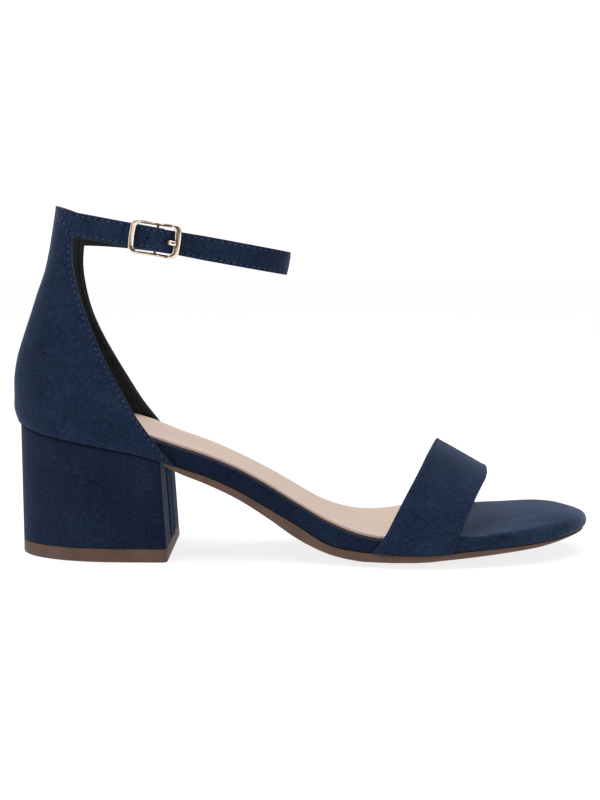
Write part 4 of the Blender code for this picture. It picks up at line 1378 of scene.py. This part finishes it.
def make_buckle():
    """The frame follows a rounded oblong, and its two bars are arched over the tail."""
    half_long = (BUCKLE_LENGTH - BUCKLE_BAR) / 2
    half_high = (BUCKLE_HEIGHT - BUCKLE_WIRE) / 2
    rail = half_long - BUCKLE_CORNER
    side = half_high - BUCKLE_CORNER
    outline = []
    for quarter, (sign_x, sign_z) in enumerate(((1, 1), (-1, 1), (-1, -1), (1, -1))):
        for turn in np.linspace(0, math.pi / 2, 15):
            angle = turn + quarter * math.pi / 2
            outline.append((sign_x * rail + BUCKLE_CORNER * math.cos(angle),
                            sign_z * side + BUCKLE_CORNER * math.sin(angle)))
        if quarter % 2 == 0:
            for step in np.linspace(rail, -rail, 26)[1:-1]:
                outline.append((sign_x * step, sign_z * half_high))
        else:
            for step in np.linspace(side, -side, 12)[1:-1]:
                outline.append((sign_x * half_long, sign_z * step))
    flat = np.array(outline)
    swell = ease((np.abs(flat[:, 0]) - rail) / BUCKLE_CORNER)
    flat[:, 0] += np.sign(flat[:, 0]) * BUCKLE_BOW * swell * (1 - (flat[:, 1] / half_high) ** 2)
    arch = BUCKLE_ARCH * np.minimum(1.0, np.abs(flat[:, 0]) / rail) ** 2
    runs = unit(np.roll(flat, -1, axis=0) - np.roll(flat, 1, axis=0))
    aways = np.stack((runs[:, 1], -runs[:, 0]), axis=1)
    verts = []
    for (x, z), out, away, share in zip(flat, arch, aways, swell):
        wide = mix(RAIL_WIDE, FRONT_BAR_WIDE if x > 0 else REAR_BAR_WIDE, share)
        lean = BAR_LEAN * share if x < 0 else 0.0
        for wider, deep in bar_section(wide, FRAME_DEEP):
            across = wider * math.cos(lean) - deep * math.sin(lean)
            deep = wider * math.sin(lean) + deep * math.cos(lean)
            verts.append(on_buckle(x + away[0] * across, out + deep, z + away[1] * across))
    piece("buckle_frame_gold", verts, tube_quads(len(flat), BAR_SIDES, True), [GOLD],
          "buckle_frame")
    make_centre_bar_and_prong(half_long, half_high)


def make_centre_bar_and_prong(half_long, half_high):
    """The prong's eye goes round the centre bar, and its tip lies on the front bar."""
    bar = np.array([on_buckle(0, 0, up) for up in np.linspace(-half_high, half_high, 12)])
    piece("buckle_centre_bar", *tube(bar, CENTRE_BAR_SEEN / 2), [GOLD], "buckle_frame")
    ring = CENTRE_BAR / 2 + GAP + PRONG_WIRE / 2
    points = [(ring * math.cos(math.radians(turn)), ring * math.sin(math.radians(turn)))
              for turn in np.linspace(240, 90, 14)]
    centre, direction = prong_crossing()
    start = centre - direction * (centre.y - ring) / direction.y
    end = centre + direction * BUCKLE_WIRE
    over = BUCKLE_ARCH + FRAME_DEEP / 2 + PRONG_WIRE * 0.42 + 0.0001
    points += [
        (start.x * 0.5, ring),
        (start.x, ring),
        (end.x, end.y),
        (half_long - 0.0017, over - 0.0001),
        (half_long - 0.0006, over),
        (half_long + 0.0002, over),
    ]
    fine = even_points(points, 0.0002)
    radius = np.full(len(fine), PRONG_WIRE / 2)
    radius[-3:] = PRONG_WIRE / 2 * np.array([1.0, 0.96, 0.80])
    prong = np.array([on_buckle(x, out, -PRONG_DROP * max(x, 0.0)) for x, out in fine])
    piece("buckle_prong_gold", *tube(prong, radius, 24, deep=0.84, high=1.25, power=0.7),
          [GOLD], "buckle_prong")


make_outsole()
make_footbed()
make_insole()
make_heel()
make_counter()
make_straps()
make_vamp()
make_buckle()


# Stage, light and camera

def make_stage():
    bm = bmesh.new()
    bmesh.ops.create_grid(bm, x_segments=1, y_segments=1, size=12.0)
    mesh = bpy.data.meshes.new("floor")
    bm.to_mesh(mesh)
    bm.free()
    floor = add_object("floor", mesh)
    floor.location = (0, 0, -0.00005)
    material, tree, shader = new_material("white_floor", {
        "Roughness": 0.9, "Specular IOR Level": 0.1,
        "Emission Color": (1.0, 1.0, 1.0, 1.0), "Emission Strength": 0.80})
    shade = ramp(tree, noise(tree, 3.0), [(0.3, (0.33,) * 3), (0.7, (0.35,) * 3)])
    tree.links.new(shade, shader.inputs["Base Color"])
    mesh.materials.append(material)


def area_light(name, place, target, size, power):
    light = bpy.data.lights.new(name, "AREA")
    light.shape = "RECTANGLE"
    light.size, light.size_y = size
    light.energy = power
    holder = add_object(name, light)
    holder.location = place
    run = Vector(target) - Vector(place)
    holder.rotation_euler = run.to_track_quat("-Z", "Y").to_euler()


def make_world():
    """White behind the shoe. What lights it and shows in the metal is a dim room with a bright
    ceiling and a dark wall in front."""
    world = bpy.data.worlds.new("studio")
    world.use_nodes = True
    bpy.context.scene.world = world
    tree = world.node_tree
    place = tree.nodes.new("ShaderNodeTexCoord").outputs["Generated"]
    parts = add_node(tree, "ShaderNodeSeparateXYZ", {}, {"Vector": place})
    up = ramp(tree, parts.outputs["Z"], [(0.0, (0.30,) * 3), (0.22, (0.34,) * 3),
                                         (0.55, (0.66,) * 3), (1.0, (1.05,) * 3)])
    front = add_node(tree, "ShaderNodeMapRange",
                     {"From Min": -0.75, "From Max": -0.15, "To Min": 0.22, "To Max": 1.0},
                     {"Value": parts.outputs["Y"]})
    room = tree.nodes["Background"]
    room.inputs["Strength"].default_value = 0.85
    tree.links.new(multiplied(tree, up, front.outputs["Result"]), room.inputs["Color"])
    white = add_node(tree, "ShaderNodeBackground",
                     {"Color": (1.0, 1.0, 1.0, 1.0), "Strength": 1.05}, {})
    rays = tree.nodes.new("ShaderNodeLightPath")
    choice = add_node(tree, "ShaderNodeMixShader", {},
                      {0: rays.outputs["Is Camera Ray"], 1: room.outputs["Background"],
                       2: white.outputs["Background"]})
    tree.links.new(choice.outputs["Shader"], tree.nodes["World Output"].inputs["Surface"])


def make_lights():
    make_world()
    area_light("top_softbox", (-0.05, 0.05, 0.95), (0.0, 0.0, 0.05), (1.2, 0.9), 7.2)
    area_light("left_softbox", (-0.95, -0.75, 0.45), (0.0, 0.0, 0.08), (0.5, 0.7), 2.2)
    area_light("right_softbox", (0.62, -0.95, 0.35), (0.0, 0.0, 0.08), (0.5, 0.8), 1.5)


def make_camera():
    camera = bpy.data.cameras.new("camera")
    camera.sensor_width = CAMERA_SENSOR
    camera.lens = CAMERA_LENS
    holder = add_object("camera", camera)
    holder.location = ROOT + CAMERA_PLACE
    holder.rotation_euler = (math.pi / 2 - CAMERA_TILT, 0.0, 0.0)
    bpy.context.scene.camera = holder


make_stage()
make_lights()
make_camera()
bpy.context.scene.view_settings.view_transform = "Standard"
